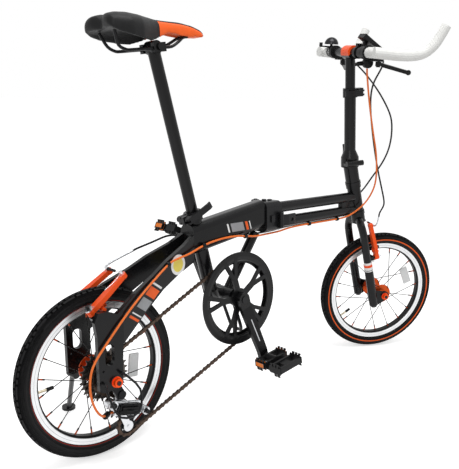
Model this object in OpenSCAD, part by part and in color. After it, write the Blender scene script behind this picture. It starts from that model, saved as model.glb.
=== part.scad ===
// Folding bicycle with small wheels: hinged frame, folding handlepost, telescoping seatpost,
// linear-pull brakes, chain drive with seven sprockets. X is forward, Y is left, Z is up.
// It stands on both tyres and the stand, leaning to the left, with the bars turned right.

/* [Stance] */
// Lean to the left onto the stand, degrees
lean_angle = 4; // [3:0.5:5]
// Turn of the bars and the front wheel, degrees
steer_angle = -26.7; // [-30:0.1:-20]
// Right crank forward of straight down, degrees
crank_turn = 16.7; // [10:0.1:22]

/* [Wheels] */
// Outside diameter of the tyre
wheel_d = 385; // [382:1:388]
// Width of the tyre
tyre_w = 38; // [35:1:40]
// Outside diameter of the rim
rim_d = 322; // [320:1:324]
// Width of the rim over its side walls
rim_w = 24; // [22:1:26]
// Depth of the rim
rim_depth = 18; // [15:1:20]
// Spokes in each wheel
spoke_count = 20; // [16:4:24]
// Thickness of a spoke
spoke_d = 2; // [1.8:0.1:2.2]

/* [Frame] */
// Distance between the wheel axles
wheelbase = 1014; // [1000:1:1030]
// Angle of the steering axis from level, degrees
head_angle = 75.25; // [74.5:0.25:76]
// Length of the head tube with its cups
head_len = 97; // [93:1:100]
// Diameter of the head tube
head_d = 40; // [38:1:42]
// Diameter of the two front tubes
front_tube_d = 30; // [28:1:32]
// Height of the upper front tube
upper_z = 504; // [502:1:506]
// Height of the lower front tube
lower_z = 463.5; // [461:0.5:466]
// Position of the folding plane along the frame
hinge_x = 525; // [520:1:530]
// Width of the main tube
main_w = 52; // [48:1:56]
// Height of the main tube section
main_h = 72; // [68:1:76]
// Diameter of the seat tube
seat_tube_d = 35; // [33:0.5:37]
// Diameter of the strut
strut_d = 25.4; // [22:0.2:28]
// Distance between the rear dropouts
rear_width = 130; // [129:1:132]
// Thickness of a rear blade
blade_t = 12; // [10:1:13]

/* [Seat] */
// Angle of the seat tube from level, degrees
seat_angle = 75.3; // [74.5:0.1:76]
// Diameter of the seatpost
seatpost_d = 28.6; // [27:0.2:29.6]
// Seatpost from the top of the seat tube to the saddle clamp
seatpost_out = 398; // [385:1:410]
// Half the width of the saddle at its wings
saddle_half = 75; // [70:1:80]

/* [Fork and bars] */
// Fork from the head tube to the axle, along the steering axis
fork_len = 273; // [270:1:276]
// Axle ahead of the steering axis
fork_rake = 25.7; // [24:0.1:28]
// Diameter of the fork leg sleeves
leg_d = 27; // [25:1:28]
// Lean of the handlepost ahead of the steering axis, degrees
post_tilt = 9.1; // [8:0.1:10]
// Diameter of the lower handlepost
post_d = 33.5; // [32.5:0.5:35]
// Diameter of the upper handlepost
upper_d = 28.6; // [27.6:0.2:29]
// Height of the bar above the handlepost hinge
bar_w = 316; // [310:1:325]
// Diameter of the bar in its clamp
bar_d = 25.4; // [24:0.2:26]
// Half the width of the bar
bar_half = 180; // [174:1:188]

/* [Drive] */
// Height of the crank axis
bb_z = 297; // [294:1:300]
// Position of the crank axis
bb_x = 377; // [374:1:380]
// Teeth on the chainring
ring_teeth = 52; // [50:1:52]
// Length of a crank
crank_len = 160; // [155:1:165]
// Chain pitch
pitch = 12.7; // [12.6:0.05:12.75]
// Diameter of the crank spindle
spindle_d = 17; // [16:0.5:18]
// Diameter of the hub axle at the rear
axle_d = 10; // [9:0.5:10]

/* [Hidden] */
$fn = 48;

// Radial play of a running fit, gap between pieces that pass, gap at a split
fit = 0.06;
room = 0.3;
split = 0.2;

wheel_r = wheel_d / 2;
tyre_r = tyre_w / 2;
rim_r = rim_d / 2;
rim_in = rim_r - rim_depth;
rake_dir = head_angle - 90;
head_base = [wheelbase - fork_rake * sin(head_angle) - fork_len * cos(head_angle), 0,
    wheel_r - fork_rake * cos(head_angle) + fork_len * sin(head_angle)];
seat_x = 277;
seat_z = 512;
seat_low = 200;
post_z = head_len + 70.5;
bar_level = 90 - head_angle - post_tilt;
main_x0 = 258;
main_z0 = 455;
block_len = 28;
main_x1 = hinge_x - block_len;
main_rise = 9.27;
hinge_pin = [hinge_x + 0.15, 42];
bb_half = 34;
drop_in = rear_width / 2;

// Rounds a point about Y, then about Z
function turn_y(p, a) = [p.x * cos(a) + p.z * sin(a), p.y, p.z * cos(a) - p.x * sin(a)];
function turn_z(p, a) = [p.x * cos(a) - p.y * sin(a), p.x * sin(a) + p.y * cos(a), p.z];
function fork_point(p) = head_base + turn_y(turn_z(p, steer_angle), rake_dir);
function post_point(p) = fork_point([0, 0, post_z] + turn_y(p, post_tilt));
function bar_point(p) = post_point([0, 0, bar_w] + turn_y(p, bar_level));

module leaned() rotate([-lean_angle, 0, 0]) children();
module on_head() leaned() translate(head_base) rotate([0, rake_dir, 0]) children();
module steered() on_head() rotate([0, 0, steer_angle]) children();
module on_post() steered() translate([0, 0, post_z]) rotate([0, post_tilt, 0]) children();
module on_bar() on_post() translate([0, 0, bar_w]) rotate([0, bar_level, 0]) children();
module on_crank() leaned() translate([bb_x, 0, bb_z]) rotate([0, -crank_turn, 0]) children();
module on_seat() leaned() translate([seat_x, 0, seat_z]) rotate([0, seat_angle - 90, 0]) children();
module on_rear_axle() leaned() translate([0, 0, wheel_r]) children();
module on_front_axle() steered() translate([fork_rake, 0, -fork_len]) children();

module x_rod(x0, x1, r) translate([x0, 0, 0]) rotate([0, 90, 0]) cylinder(r = r, h = x1 - x0);
module y_rod(y0, y1, r) translate([0, y0, 0]) rotate([-90, 0, 0]) cylinder(r = r, h = y1 - y0);
module rod(p, q, r) {
    d = q - p;
    h = norm(d);
    translate(p) rotate([0, acos(d.z / h), atan2(d.y, d.x)]) cylinder(r = r, h = h);
}
// A side view outline given in X and Z, filled from y0 to y1
module slab(y0, y1) translate([0, y1, 0]) rotate([90, 0, 0]) linear_extrude(y1 - y0) children();
// An end view outline given in Y and Z, filled from x0 to x1
module plate(x0, x1) translate([x0, 0, 0]) rotate([90, 0, 90]) linear_extrude(x1 - x0) children();
module spin() rotate([-90, 0, 0]) rotate_extrude($fn = 128) children();
module round_rect(w, h, r) {
    square([w - 2 * r, h], center = true);
    square([w, h - 2 * r], center = true);
    for (sx = [-1, 1], sy = [-1, 1]) translate([sx * (w / 2 - r), sy * (h / 2 - r)]) circle(r);
}
module sides() for (s = [0, 1]) mirror([0, s, 0]) children();

// Tube swept along a smooth curve through hand-chosen points
function blend(a, b, c, d, t) = 0.5 * (2 * b + (c - a) * t + (2 * a - 5 * b + 4 * c - d) * t * t
    + (3 * b - a - 3 * c + d) * t * t * t);
function curve(p, n) = let (m = len(p) - 1)
    [for (i = [0 : m - 1], k = [0 : n - 1])
        blend(p[max(i - 1, 0)], p[i], p[i + 1], p[min(i + 2, m)], k / n), p[m]];
function unit(v) = v / norm(v);
function across(v, t) = unit(v - (v * t) * t);
function way(q, i) = unit(q[min(i + 1, len(q) - 1)] - q[max(i - 1, 0)]);
module sweep(points, radii, steps, sides, start) {
    q = curve(points, steps);
    m = len(q);
    r = curve([for (v = radii) [v, 0, 0]], steps);
    frames = [for (i = 0, v = across(start, way(q, 0)); i < m;
        i = i + 1, v = across(v, way(q, min(i, m - 1)))) v];
    rings = [for (i = [0 : m - 1], k = [0 : sides - 1])
        let (a = 360 * k / sides, t = way(q, i), v = frames[i])
        q[i] + r[i].x * (cos(a) * v + sin(a) * cross(t, v))];
    caps = [[for (k = [0 : sides - 1]) k], [for (k = [0 : sides - 1]) m * sides - 1 - k]];
    walls = [for (i = [0 : m - 2], k = [0 : sides - 1])
        let (a = i * sides + k, b = i * sides + (k + 1) % sides, c = b + sides, d = a + sides)
        each [[a, c, b], [a, d, c]]];
    polyhedron(rings, concat(caps, walls), convexity = 10);
}
module bent(points, r, start, steps = 3) sweep(points, [for (p = points) r], steps, 12, start);
module cable(points, r, steps, start) sweep(points, [for (p = points) r], steps, 8, start);

// Frame, rear half

module main_body(w, h, r) intersection() {
    translate([main_x0, 0, main_z0]) rotate([0, 90 - main_rise, 0]) translate([0, 0, -40])
        linear_extrude(main_x1 - main_x0 + 90) round_rect(h, w, r);
    translate([main_x0, -60, 300]) cube([main_x1 - main_x0, 120, 400]);
}
module seat_core(r) on_seat() translate([0, 0, -500]) cylinder(r = r, h = 600);
module seat_tube() color("#1c1c1e") on_seat() difference() {
    translate([0, 0, -seat_low]) cylinder(r = seat_tube_d / 2, h = seat_low);
    translate([0, 0, -seat_low - 1]) cylinder(r = seatpost_d / 2 + fit, h = seat_low + 2);
}
module main_tube() color("#1c1c1e") difference() {
    leaned() main_body(main_w, main_h, 18);
    leaned() intersection() {
        main_body(main_w - 6, main_h - 6, 15);
        translate([main_x0 + 4, -60, 300]) cube([400, 120, 400]);
    }
    seat_core(seat_tube_d / 2);
}
module strut() color("#1c1c1e") leaned() difference() {
    rod([bb_x, 0, bb_z], [482, 0, 446], strut_d / 2);
    rod([bb_x, 0, bb_z], [482, 0, 446], strut_d / 2 - 2.2);
    translate([bb_x, 0, bb_z]) y_rod(-60, 60, 20);
    main_body(main_w, main_h, 18);
}
guard_loop = [[5, 22, -14], [13, 22, -36], [23, 22, -62], [34, 20, -92], [37, 12, -100], [37, -12, -100],
    [34, -20, -92], [23, -22, -62], [13, -22, -36], [5, -22, -14]];
module bb_shell() color("#232325") difference() {
    leaned() {
        translate([bb_x, 0, bb_z]) difference() {
            union() {
                y_rod(-bb_half, bb_half, 20);
                sides() y_rod(bb_half, bb_half + 3, 21.5);
            }
            y_rod(-22, 22, 17);
            y_rod(-60, 60, spindle_d / 2 + fit);
        }
        difference() {
            rod([bb_x, 0, bb_z], [bb_x - 62, 0, bb_z + 26], 13);
            translate([bb_x, 0, bb_z]) y_rod(-60, 60, 19);
        }
        bent([for (v = guard_loop) [bb_x + v[0], v[1], bb_z + v[2]]], 4.5, [0, 1, 0]);
    }
    seat_core(seat_tube_d / 2);
    leaned() translate([bb_x, 0, bb_z]) y_rod(-60, 60, spindle_d / 2 + fit);
}

brake_pivot = [-26, wheel_r + 143.5];
brake_turn = 55.7;
brake_y = 41;
stand_at = [-14, wheel_r - 24.5];
hanger_at = [14, wheel_r - 30];
module blade_outline() polygon([[-39, wheel_r - 12], [-39, wheel_r + 105], [-44, wheel_r + 138],
    [-35, wheel_r + 157], [-14, wheel_r + 157], [10, wheel_r + 147], [60, 372], [120, 400], [165, 425],
    [223, 450], [main_x0, 470], [main_x0, 405], [200, 385], [150, 362], [90, 322], [22, wheel_r + 78],
    [17, wheel_r - 2], [8, wheel_r - 16], [-30, wheel_r - 18]]);
module on_rear_brake() translate([brake_pivot.x, 0, brake_pivot.y]) rotate([0, brake_turn, 0])
    mirror([1, 0, 0]) children();
// Left blade in the bicycle's upright frame; the right one is its mirror image
module blade() {
    difference() {
        union() {
            intersection() {
                slab(5, 100) blade_outline();
                translate([0, 0, 100]) linear_extrude(500) polygon([[-80, drop_in], [24, drop_in],
                    [main_x0, 14], [main_x0, 14 + blade_t], [24, drop_in + blade_t], [-80, drop_in + blade_t]]);
            }
            on_rear_brake() translate([-14, brake_y - 7, -9]) cube([14, drop_in - brake_y + 8, 18]);
            on_rear_brake() translate([0, brake_y, 0]) x_rod(-1, 26, 4);
        }
        translate([0, 0, wheel_r]) y_rod(0, 200, axle_d / 2 + fit);
        translate([-29, 0, wheel_r + 30]) y_rod(0, 200, 2.5);
        translate([-12, 0, wheel_r + 62]) slab(0, 200) round_rect(22, 46, 10);
    }
}
stand_boss = 12;
stand_round = 17;
// Pivot of the stand: from the middle of the left blade, slanted outward, back and up
module on_stand() translate([stand_at.x, drop_in + blade_t / 2, stand_at.y]) rotate([0, 0, stand_round])
    rotate([12.5, 0, 0]) children();
module blade_right() color("#1c1c1e") leaned() mirror([0, 1, 0]) blade();
module blade_left() color("#1c1c1e") leaned() {
    blade();
    difference() {
        on_stand() {
            y_rod(0, stand_boss, 12);
            y_rod(0, stand_boss + 15, 5);
            y_rod(stand_boss + 12.3, stand_boss + 15, 8);
        }
        translate([-80, 0, 100]) cube([100, drop_in, 200]);
        translate([0, 0, wheel_r]) y_rod(0, 200, axle_d / 2 + fit);
    }
}
module rear_axle() color("#e2622a") on_rear_axle() {
    y_rod(-drop_in - 26, drop_in + 26, axle_d / 2);
    sides() difference() {
        union() {
            y_rod(drop_in + blade_t, drop_in + blade_t + 2.5, 12);
            y_rod(drop_in + blade_t + 2.5, drop_in + blade_t + 12, 9.5);
        }
        y_rod(0, 200, axle_d / 2);
    }
    difference() {
        union() {
            y_rod(45 + room, drop_in, 9);
            y_rod(-drop_in, -60 - room, 9);
        }
        y_rod(-100, 100, axle_d / 2);
    }
}

block_h = 80;
block_w = 62;
block_z = 486;
knuckle_low = [445, 462];
knuckle_high = [506, 526];
module at_pin() translate([hinge_pin.x, hinge_pin.y, 0]) children();
module hinge_block(x0, x1) translate([0, 0, block_z]) plate(x0, x1) round_rect(block_w, block_h, 16);
module hinge_rear() color("#262628") leaned() {
    hinge_block(main_x1, hinge_x);
    for (z = [knuckle_low, knuckle_high]) {
        at_pin() translate([0, 0, z[0]]) cylinder(r = 10, h = z[1] - z[0]);
        translate([hinge_x - 14, 24, z[0]]) cube([13.8, 20, z[1] - z[0]]);
    }
    at_pin() translate([0, 0, knuckle_low[0] - 2]) cylinder(r = 5, h = knuckle_high[1] - knuckle_low[0] + 4);
    translate([hinge_x - 14, -block_w / 2 - 4, block_z - 14]) cube([12, 6, 18]);
    translate([hinge_x - 9, 0, block_z + block_h / 2 - 1]) cylinder(r = 6, h = 6);
}
module hinge_front() color("#262628") leaned() {
    hinge_block(hinge_x + room, hinge_x + block_len);
    difference() {
        union() {
            at_pin() translate([0, 0, knuckle_low[1] + room])
                cylinder(r = 10, h = knuckle_high[0] - knuckle_low[1] - 2 * room);
            translate([hinge_x + room, 24, knuckle_low[1] + room])
                cube([14, 20, knuckle_high[0] - knuckle_low[1] - 2 * room]);
        }
        at_pin() translate([0, 0, 300]) cylinder(r = 5 + fit, h = 400);
    }
    for (z = [latch_z - 21, latch_z + 14.3]) {
        translate([latch_x, latch_y, z]) cylinder(r = 6, h = 6.7);
        translate([latch_x - 6, latch_y, z]) cube([12, -latch_y - block_w / 2 + 2, 6.7]);
    }
    translate([latch_x, latch_y, latch_z - 21]) cylinder(r = 3, h = 42);
    translate([hinge_x + 12, 0, block_z + block_h / 2 - 1]) cylinder(r = 6, h = 4);
}
latch_x = hinge_x + 17;
latch_y = -40;
latch_z = 476;
module hinge_latch() color("#2b2b2e") leaned() translate([latch_x, latch_y, latch_z]) difference() {
    union() {
        translate([0, 0, -14]) cylinder(r = 6, h = 28);
        translate([0, 0, -14]) linear_extrude(28)
            polygon([[0, -5], [20, -7.5], [44, -6], [52, -2], [52, 1], [44, 0], [20, -1.5], [0, 3]]);
    }
    translate([0, 0, -30]) cylinder(r = 3 + fit, h = 60);
    translate([34, 20, 0]) rotate([90, 0, 0]) cylinder(r = 6, h = 40);
}

// Frame, front half

module head_core(r) on_head() translate([0, 0, -100]) cylinder(r = r, h = 300);
function head_x(z) = head_base.x - (z - head_base.z) / tan(head_angle);
module front_tube(z) {
    difference() {
        leaned() translate([0, 0, z]) x_rod(hinge_x + block_len, head_x(z), front_tube_d / 2);
        leaned() translate([0, 0, z]) x_rod(hinge_x + block_len - 1, head_x(z), front_tube_d / 2 - 2.2);
        head_core(head_d / 2);
        head_cups();
    }
}
module head_cups() on_head() for (z = [0, head_len - 11]) translate([0, 0, z]) cylinder(r = head_d / 2 + 2.5, h = 11);
module upper_tube() color("#1c1c1e") front_tube(upper_z);
module lower_tube() color("#1c1c1e") front_tube(lower_z);
module head_tube() color("#202022") difference() {
    union() {
        on_head() cylinder(r = head_d / 2, h = head_len);
        head_cups();
        difference() {
            leaned() translate([head_base.x - 84, -8, lower_z]) cube([84, 16, upper_z - lower_z]);
            leaned() for (z = [upper_z, lower_z])
                translate([0, 0, z]) x_rod(hinge_x, head_base.x + 40, front_tube_d / 2);
        }
    }
    on_head() translate([0, 0, 11]) cylinder(r = 17, h = head_len - 22);
    head_core(steer_r + fit);
}

// Seat

module seat_clamp() color("#2a2a2c") on_seat() difference() {
    union() {
        translate([0, 0, -collar_h / 2]) cylinder(r = seat_tube_d / 2 + 4.5, h = collar_h);
        translate([-seat_tube_d / 2 - 20, -11, 1 - collar_h / 2]) cube([20, 22, collar_h - 2]);
        translate([skewer_x, 0, skewer_z]) {
            y_rod(cam_y, 20, 3);
            y_rod(11, 19, 8);
            rotate([0, -cam_tilt, 0]) translate([0, cam_y, -8]) cylinder(r = 3, h = 16);
        }
    }
    translate([0, 0, -30]) cylinder(r = seat_tube_d / 2, h = 30);
    translate([0, 0, -1]) cylinder(r = seatpost_d / 2 + fit, h = 20);
    translate([-60, -1.5, -40]) cube([44, 3, 36]);
    translate([-60, -1.5, 4]) cube([44, 3, 20]);
}
collar_h = 22;
skewer_x = -seat_tube_d / 2 - 11;
skewer_z = 0;
cam_y = -19;
cam_tilt = 18;
// Room round the skewer while its lever swings open
module cam_slot() translate([0, 0, -3 - room]) linear_extrude(6 + 2 * room)
    polygon([[3 + room, 14], [-14, 14], [-14, -14], [-4.1, -14], [2.9, -1.65], [3 + room, 0]]);
module seat_lever() color("#2b2b2e") on_seat() translate([skewer_x, 0, skewer_z]) rotate([0, -cam_tilt, 0])
    translate([0, cam_y, 0]) difference() {
        translate([0, 0, -8]) {
            cylinder(r = 7.5, h = 16);
            linear_extrude(16)
                polygon([[0, -7], [30, -14], [58, -19], [66, -17], [66, -13], [58, -14], [30, -9], [4, 0]]);
        }
        translate([0, 0, -9]) cylinder(r = 3 + fit, h = 18);
        cam_slot();
    }
saddle_at = [seat_x - seatpost_out * cos(seat_angle), 0, seat_z + seatpost_out * sin(seat_angle)];
saddle_back = 11;
module on_saddle() leaned() translate(saddle_at - [saddle_back, 0, 0]) children();
rail_r = 3.5;
rail_y = 22;
rail_slope = 7.23;
function rail_low(x) = [x, rail_y, (x - 26.3) * tan(rail_slope)];
rail_points = [[100, 9, 28.6], [86, 11, 25.5], [68, 17, 14], rail_low(46), rail_low(20), rail_low(-6),
    rail_low(-32), rail_low(-58), [-72, rail_y, -11], [-90, rail_y, -3], [-101, 29, 18], [-104, 31, 25.4]];
module rails_straight(r) on_saddle() sides() rod(rail_low(46), rail_low(-58), r);
module seatpost() color("#1a1a1c") difference() {
    on_seat() {
        difference() {
            translate([0, 0, -140]) cylinder(r = seatpost_d / 2, h = seatpost_out + 134);
            translate([0, 0, -141]) cylinder(r = seatpost_d / 2 - 2.2, h = seatpost_out + 115);
        }
        translate([0, 0, seatpost_out]) {
            y_rod(-16, 16, 15);
            y_rod(-33, 33, 8);
            sides() translate([0, rail_y, 0]) rotate([0, 90 - seat_angle - rail_slope, 0]) translate([-16, -6, -11])
                cube([32, 12, 20]);
        }
    }
    rails_straight(rail_r + room / 2);
}
module saddle_rails() color("#b9bbbe") on_saddle() sides() bent(rail_points, rail_r, [0, 1, 0]);

// Saddle stations: along, half width share, top, lower edge, channel depth, tail notch
saddle_rows = [[-129, 0.66, 50, 36, 12, 14], [-124, 0.84, 58, 26, 12, 10], [-106, 0.97, 63, 18, 11, 3],
    [-80, 1.00, 65, 13, 10, 0], [-50, 0.90, 64, 9, 9, 0], [-22, 0.68, 62, 6, 7, 0], [4, 0.48, 60, 14, 4, 0],
    [36, 0.36, 59, 24, 1, 0], [76, 0.31, 59, 26, 0, 0], [112, 0.27, 55, 26, 0, 0], [138, 0.21, 48, 28, 0, 0],
    [152, 0.11, 40, 31, 0, 0]];
saddle_over = 16;
saddle_under = 8;
function saddle_top(v, y) = v[4] * exp(-pow(y / 12, 2));
function saddle_out(v, k) = let (a = 180 * k / saddle_over, c = cos(a), s = sin(a), w = v[1] * saddle_half,
    y = w * sign(c) * pow(abs(c), 0.8) * (0.9 + 0.1 * s))
    [v[0] + v[5] * exp(-pow(y / 16, 2)), y, v[3] + (v[2] - v[3]) * pow(s, 0.62) - saddle_top(v, y) * s];
function saddle_in(v, k) = let (a = 180 - 180 * k / saddle_under, c = cos(a), w = v[1] * saddle_half * 0.78,
    roof = max(v[2] - v[4] - 24, v[3] + 2), y = w * sign(c) * pow(abs(c), 0.8))
    [v[0] + v[5] * exp(-pow(y / 16, 2)), y, v[3] + 1 + (roof - v[3] - 1) * pow(sin(a), 0.5)];
module saddle() color("#232325") on_saddle() {
    n = saddle_over + saddle_under + 2;
    m = len(saddle_rows);
    rings = [for (v = saddle_rows) each concat([for (k = [0 : saddle_over]) saddle_out(v, k)],
        [for (k = [0 : saddle_under]) saddle_in(v, k)])];
    walls = [for (i = [0 : m - 2], k = [0 : n - 1])
        let (a = i * n + k, b = i * n + (k + 1) % n, c = b + n, d = a + n) each [[a, b, c], [a, c, d]]];
    strip = [for (k = [0 : saddle_under - 1]) let (a = n - 1 - k, b = n - 2 - k)
        each [[2 * k, 2 * k + 1, a], [2 * k + 1, b, a], [2 * k + 1, 2 * k + 2, b]]];
    tail = [for (f = strip) [f[2], f[1], f[0]]];
    nose = [for (f = strip) [for (k = f) k + (m - 1) * n]];
    polyhedron(rings, concat(tail, walls, nose), convexity = 10);
}

// Stand

stand_foot_y = 226;
stand_foot = [34, stand_foot_y, (stand_foot_y * sin(lean_angle) - tyre_r * (1 - cos(lean_angle))) / cos(lean_angle)];
stand_root = [-18.6, drop_in + blade_t + 9, stand_at.y - 2];
module kickstand() color("#2a2a2c") leaned() {
    difference() {
        union() {
            on_stand() y_rod(stand_boss + room, stand_boss + 12, 12);
            rod(stand_root, stand_foot + [-1, -3, 3], 6);
        }
        on_stand() y_rod(-20, stand_boss + room, 13);
        on_stand() y_rod(0, 60, 5 + fit);
        on_stand() y_rod(stand_boss + 12, stand_boss + 30, 9);
    }
    translate(stand_foot) rotate([lean_angle, 0, 0]) cylinder(r = 17, h = 6);
}

// Chain drive: pitch circles and the path round them, seen from the right, as [X, Z]

function gear_r(n) = n * pitch / (2 * PI);
chain_y = -46;
cogs = [28, 24, 22, 20, 18, 16, 14];
cog_step = 5;
cog_used = 4;
cog_y0 = chain_y + cog_used * cog_step;
jockey_teeth = 11;
cage_len = 56;
guide_at = [16, wheel_r - 73.5];
function cage_end(a) = guide_at + cage_len * [sin(a), -cos(a)];
function stops(a) = [[[0, wheel_r], gear_r(cogs[cog_used])], [[bb_x, bb_z], gear_r(ring_teeth)],
    [cage_end(a), gear_r(jockey_teeth)], [guide_at, -gear_r(jockey_teeth)]];
function around(a) = a - 360 * floor(a / 360);
function leave(p, q) = let (d = q[0] - p[0]) atan2(d.y, d.x) + acos((p[1] - q[1]) / norm(d));
function run(p, q) = let (d = q[0] - p[0], s = p[1] - q[1]) sqrt(d * d - s * s);
function out_angle(c, j) = leave(c[j], c[(j + 1) % 4]);
function in_angle(c, j) = leave(c[(j + 3) % 4], c[j]);
function arc(c, j) = PI / 180 * abs(c[j][1]) * (c[j][1] > 0 ? around(in_angle(c, j) - out_angle(c, j))
    : around(out_angle(c, j) - in_angle(c, j)));
function path_len(a) = let (c = stops(a)) arc(c, 0) + run(c[0], c[1]) + arc(c, 1) + run(c[1], c[2])
    + arc(c, 2) + run(c[2], c[3]) + arc(c, 3) + run(c[3], c[0]);
link_count = 2 * round(path_len(30) / pitch / 2);
function seek(lo, hi, n) = let (mid = (lo + hi) / 2) n == 0 ? mid
    : (path_len(mid) > link_count * pitch) == (path_len(lo) > link_count * pitch) ? seek(mid, hi, n - 1)
    : seek(lo, mid, n - 1);
cage_angle = seek(-5, 60, 40);
drive = stops(cage_angle);
function on_circle(c, a) = c[0] + c[1] * [cos(a), sin(a)];
function turned(c, s) = -s / c[1] * 180 / PI;
function walk(s, j) = let (c = drive[j], q = drive[(j + 1) % 4], l = arc(drive, j), g = run(c, q),
    p = on_circle(c, out_angle(drive, j)), e = on_circle(q, out_angle(drive, j)))
    s <= l ? on_circle(c, in_angle(drive, j) + turned(c, s))
    : s <= l + g ? p + (e - p) * (s - l) / g : walk(s - l - g, j + 1);
function begin(j) = j == 0 ? 0 : begin(j - 1) + arc(drive, j - 1) + run(drive[j - 1], drive[j]);
// Angle of one roller that sits in a gap of wheel j
function gap_angle(j) = let (k = ceil(begin(j) / pitch), c = drive[j])
    in_angle(drive, j) + turned(c, k * pitch - begin(j)) + (c[1] < 0 ? 180 : 0);
function tooth_ring(n, phase) = let (r = gear_r(n), g = 4.3)
    [for (i = [0 : n - 1]) let (a = phase + i * 360 / n, b = a + 180 / n, u = [cos(a), sin(a)], v = [-sin(a), cos(a)],
        e = [cos(b), sin(b)], f = [-sin(b), cos(b)])
        each concat([for (t = [-90, -45, 0, 45, 90]) r * u + g * (sin(t) * v - cos(t) * u)],
            [(r + 3) * e - 0.9 * f, (r + 3) * e + 0.9 * f])];

module link_side(l, open) difference() {
    union() {
        circle(4.1, $fn = 32);
        translate([l, 0]) circle(4.1, $fn = 32);
        translate([0, -2.8]) square([l, 5.6]);
    }
    if (open) for (x = [0, l]) translate([x, 0]) circle(1.95, $fn = 32);
}
module inner_link(l) {
    for (y = [-2.2, 1.2]) slab(y, y + 1) link_side(l, true);
    for (x = [0, l]) translate([x, 0, 0]) slab(-1.2, 1.2) difference() {
        circle(3.6, $fn = 32);
        circle(1.95, $fn = 32);
    }
}
module outer_link(l) {
    for (y = [-3.35, 2.35]) slab(y, y + 1) link_side(l, false);
    for (x = [0, l]) translate([x, 0, 0]) y_rod(-3.7, 3.7, 1.85, $fn = 32);
}
module chain() color("#4a3c34") leaned() for (k = [0 : link_count - 1]) {
    p = walk(k * pitch, 0);
    q = walk(((k + 1) % link_count) * pitch, 0);
    d = q - p;
    translate([p.x, chain_y, p.y]) rotate([0, -atan2(d.y, d.x), 0])
        if (k % 2 == 0) inner_link(norm(d)); else outer_link(norm(d));
}
hub_boss = 12;
module freewheel() color("#3a3836") on_rear_axle() difference() {
    union() {
        y_rod(chain_y - 13, chain_y + 22, 22);
        for (i = [0 : len(cogs) - 1]) translate([0, cog_y0 - i * cog_step, 0])
            slab(-0.95, 0.95) polygon(tooth_ring(cogs[i], gap_angle(0)));
    }
    y_rod(-100, 0, hub_boss + fit);
    for (i = [0 : 5]) rotate([0, 60 * i, 0]) translate([41, 0, 0]) y_rod(cog_y0 - 8, cog_y0 + 2, 6);
}

boss_r = 15;
arm_y0 = bb_half + 27;
arm_t = 12;
crank_flare = 24;
module arm_outline() {
    circle(17);
    translate([0, -crank_len]) circle(13);
    polygon([[-16.5, -4], [-12.6, -crank_len - 3], [12.6, -crank_len - 3], [16.5, -4]]);
}
// Left crank arm pointing down: its side outline, bent outward toward the pedal
module arm() intersection() {
    slab(arm_y0 - 5, arm_y0 + arm_t + crank_flare + 5) arm_outline();
    plate(-20, 20) polygon([[arm_y0, 20], [arm_y0 + arm_t, 20], [arm_y0 + arm_t, -24],
        [arm_y0 + arm_t + crank_flare, 18 - crank_len], [arm_y0 + arm_t + crank_flare, -crank_len - 20],
        [arm_y0 + crank_flare, -crank_len - 20], [arm_y0 + crank_flare, 18 - crank_len], [arm_y0, -24]]);
}
guard_r = 118;
module ring_arms() for (i = [0 : 4]) rotate(72 * i + 90) {
    translate([14, -8]) square([50, 16]);
    for (s = [-1, 1]) polygon([[54, s * 8], [54, s * -1], [62, 0], [112, s * 14], [110, s * 25]]);
}
module chainring() color("#1d1d1f") on_crank() difference() {
    union() {
        translate([0, chain_y, 0]) slab(-0.95, 0.95) difference() {
            polygon(tooth_ring(ring_teeth, gap_angle(1) - crank_turn));
            circle(gear_r(ring_teeth) - 15, $fn = 96);
        }
        slab(chain_y - 10, chain_y - 5) {
            difference() {
                circle(guard_r, $fn = 96);
                circle(guard_r - 10, $fn = 96);
            }
            ring_arms();
            circle(26);
        }
        for (i = [0 : 4], s = [-1, 1]) rotate([0, -72 * i - 90 + s * 7, 0])
            translate([gear_r(ring_teeth) - 9.4, 0, 0]) y_rod(chain_y - 6, chain_y + 0.95, 4.4);
    }
    y_rod(-100, 0, boss_r);
}
module crank_right() color("#1d1d1f") on_crank() difference() {
    union() {
        mirror([0, 1, 0]) arm();
        y_rod(-arm_y0 - 1, chain_y - 3, boss_r);
        y_rod(-arm_y0 - arm_t - 2, -arm_y0 - arm_t, 9);
        translate([0, 0, -crank_len]) y_rod(-pedal_in - 34, -arm_y0 - crank_flare - 1, pedal_r);
    }
    y_rod(-arm_y0 - arm_t + 3, 0, spindle_d / 2);
}
module crank_left() color("#1d1d1f") on_crank() rotate([0, 180, 0]) {
    arm();
    y_rod(bb_half + 4, arm_y0 + 1, boss_r);
    y_rod(arm_y0 + arm_t, arm_y0 + arm_t + 2, 9);
    y_rod(-arm_y0 - arm_t + 3, arm_y0, spindle_d / 2);
    translate([0, 0, -crank_len]) y_rod(arm_y0 + crank_flare + 1, pedal_in + 34, pedal_r);
}

// Pedals, given for the left side with the axle along Y; the outer half folds on a pin along X

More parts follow.
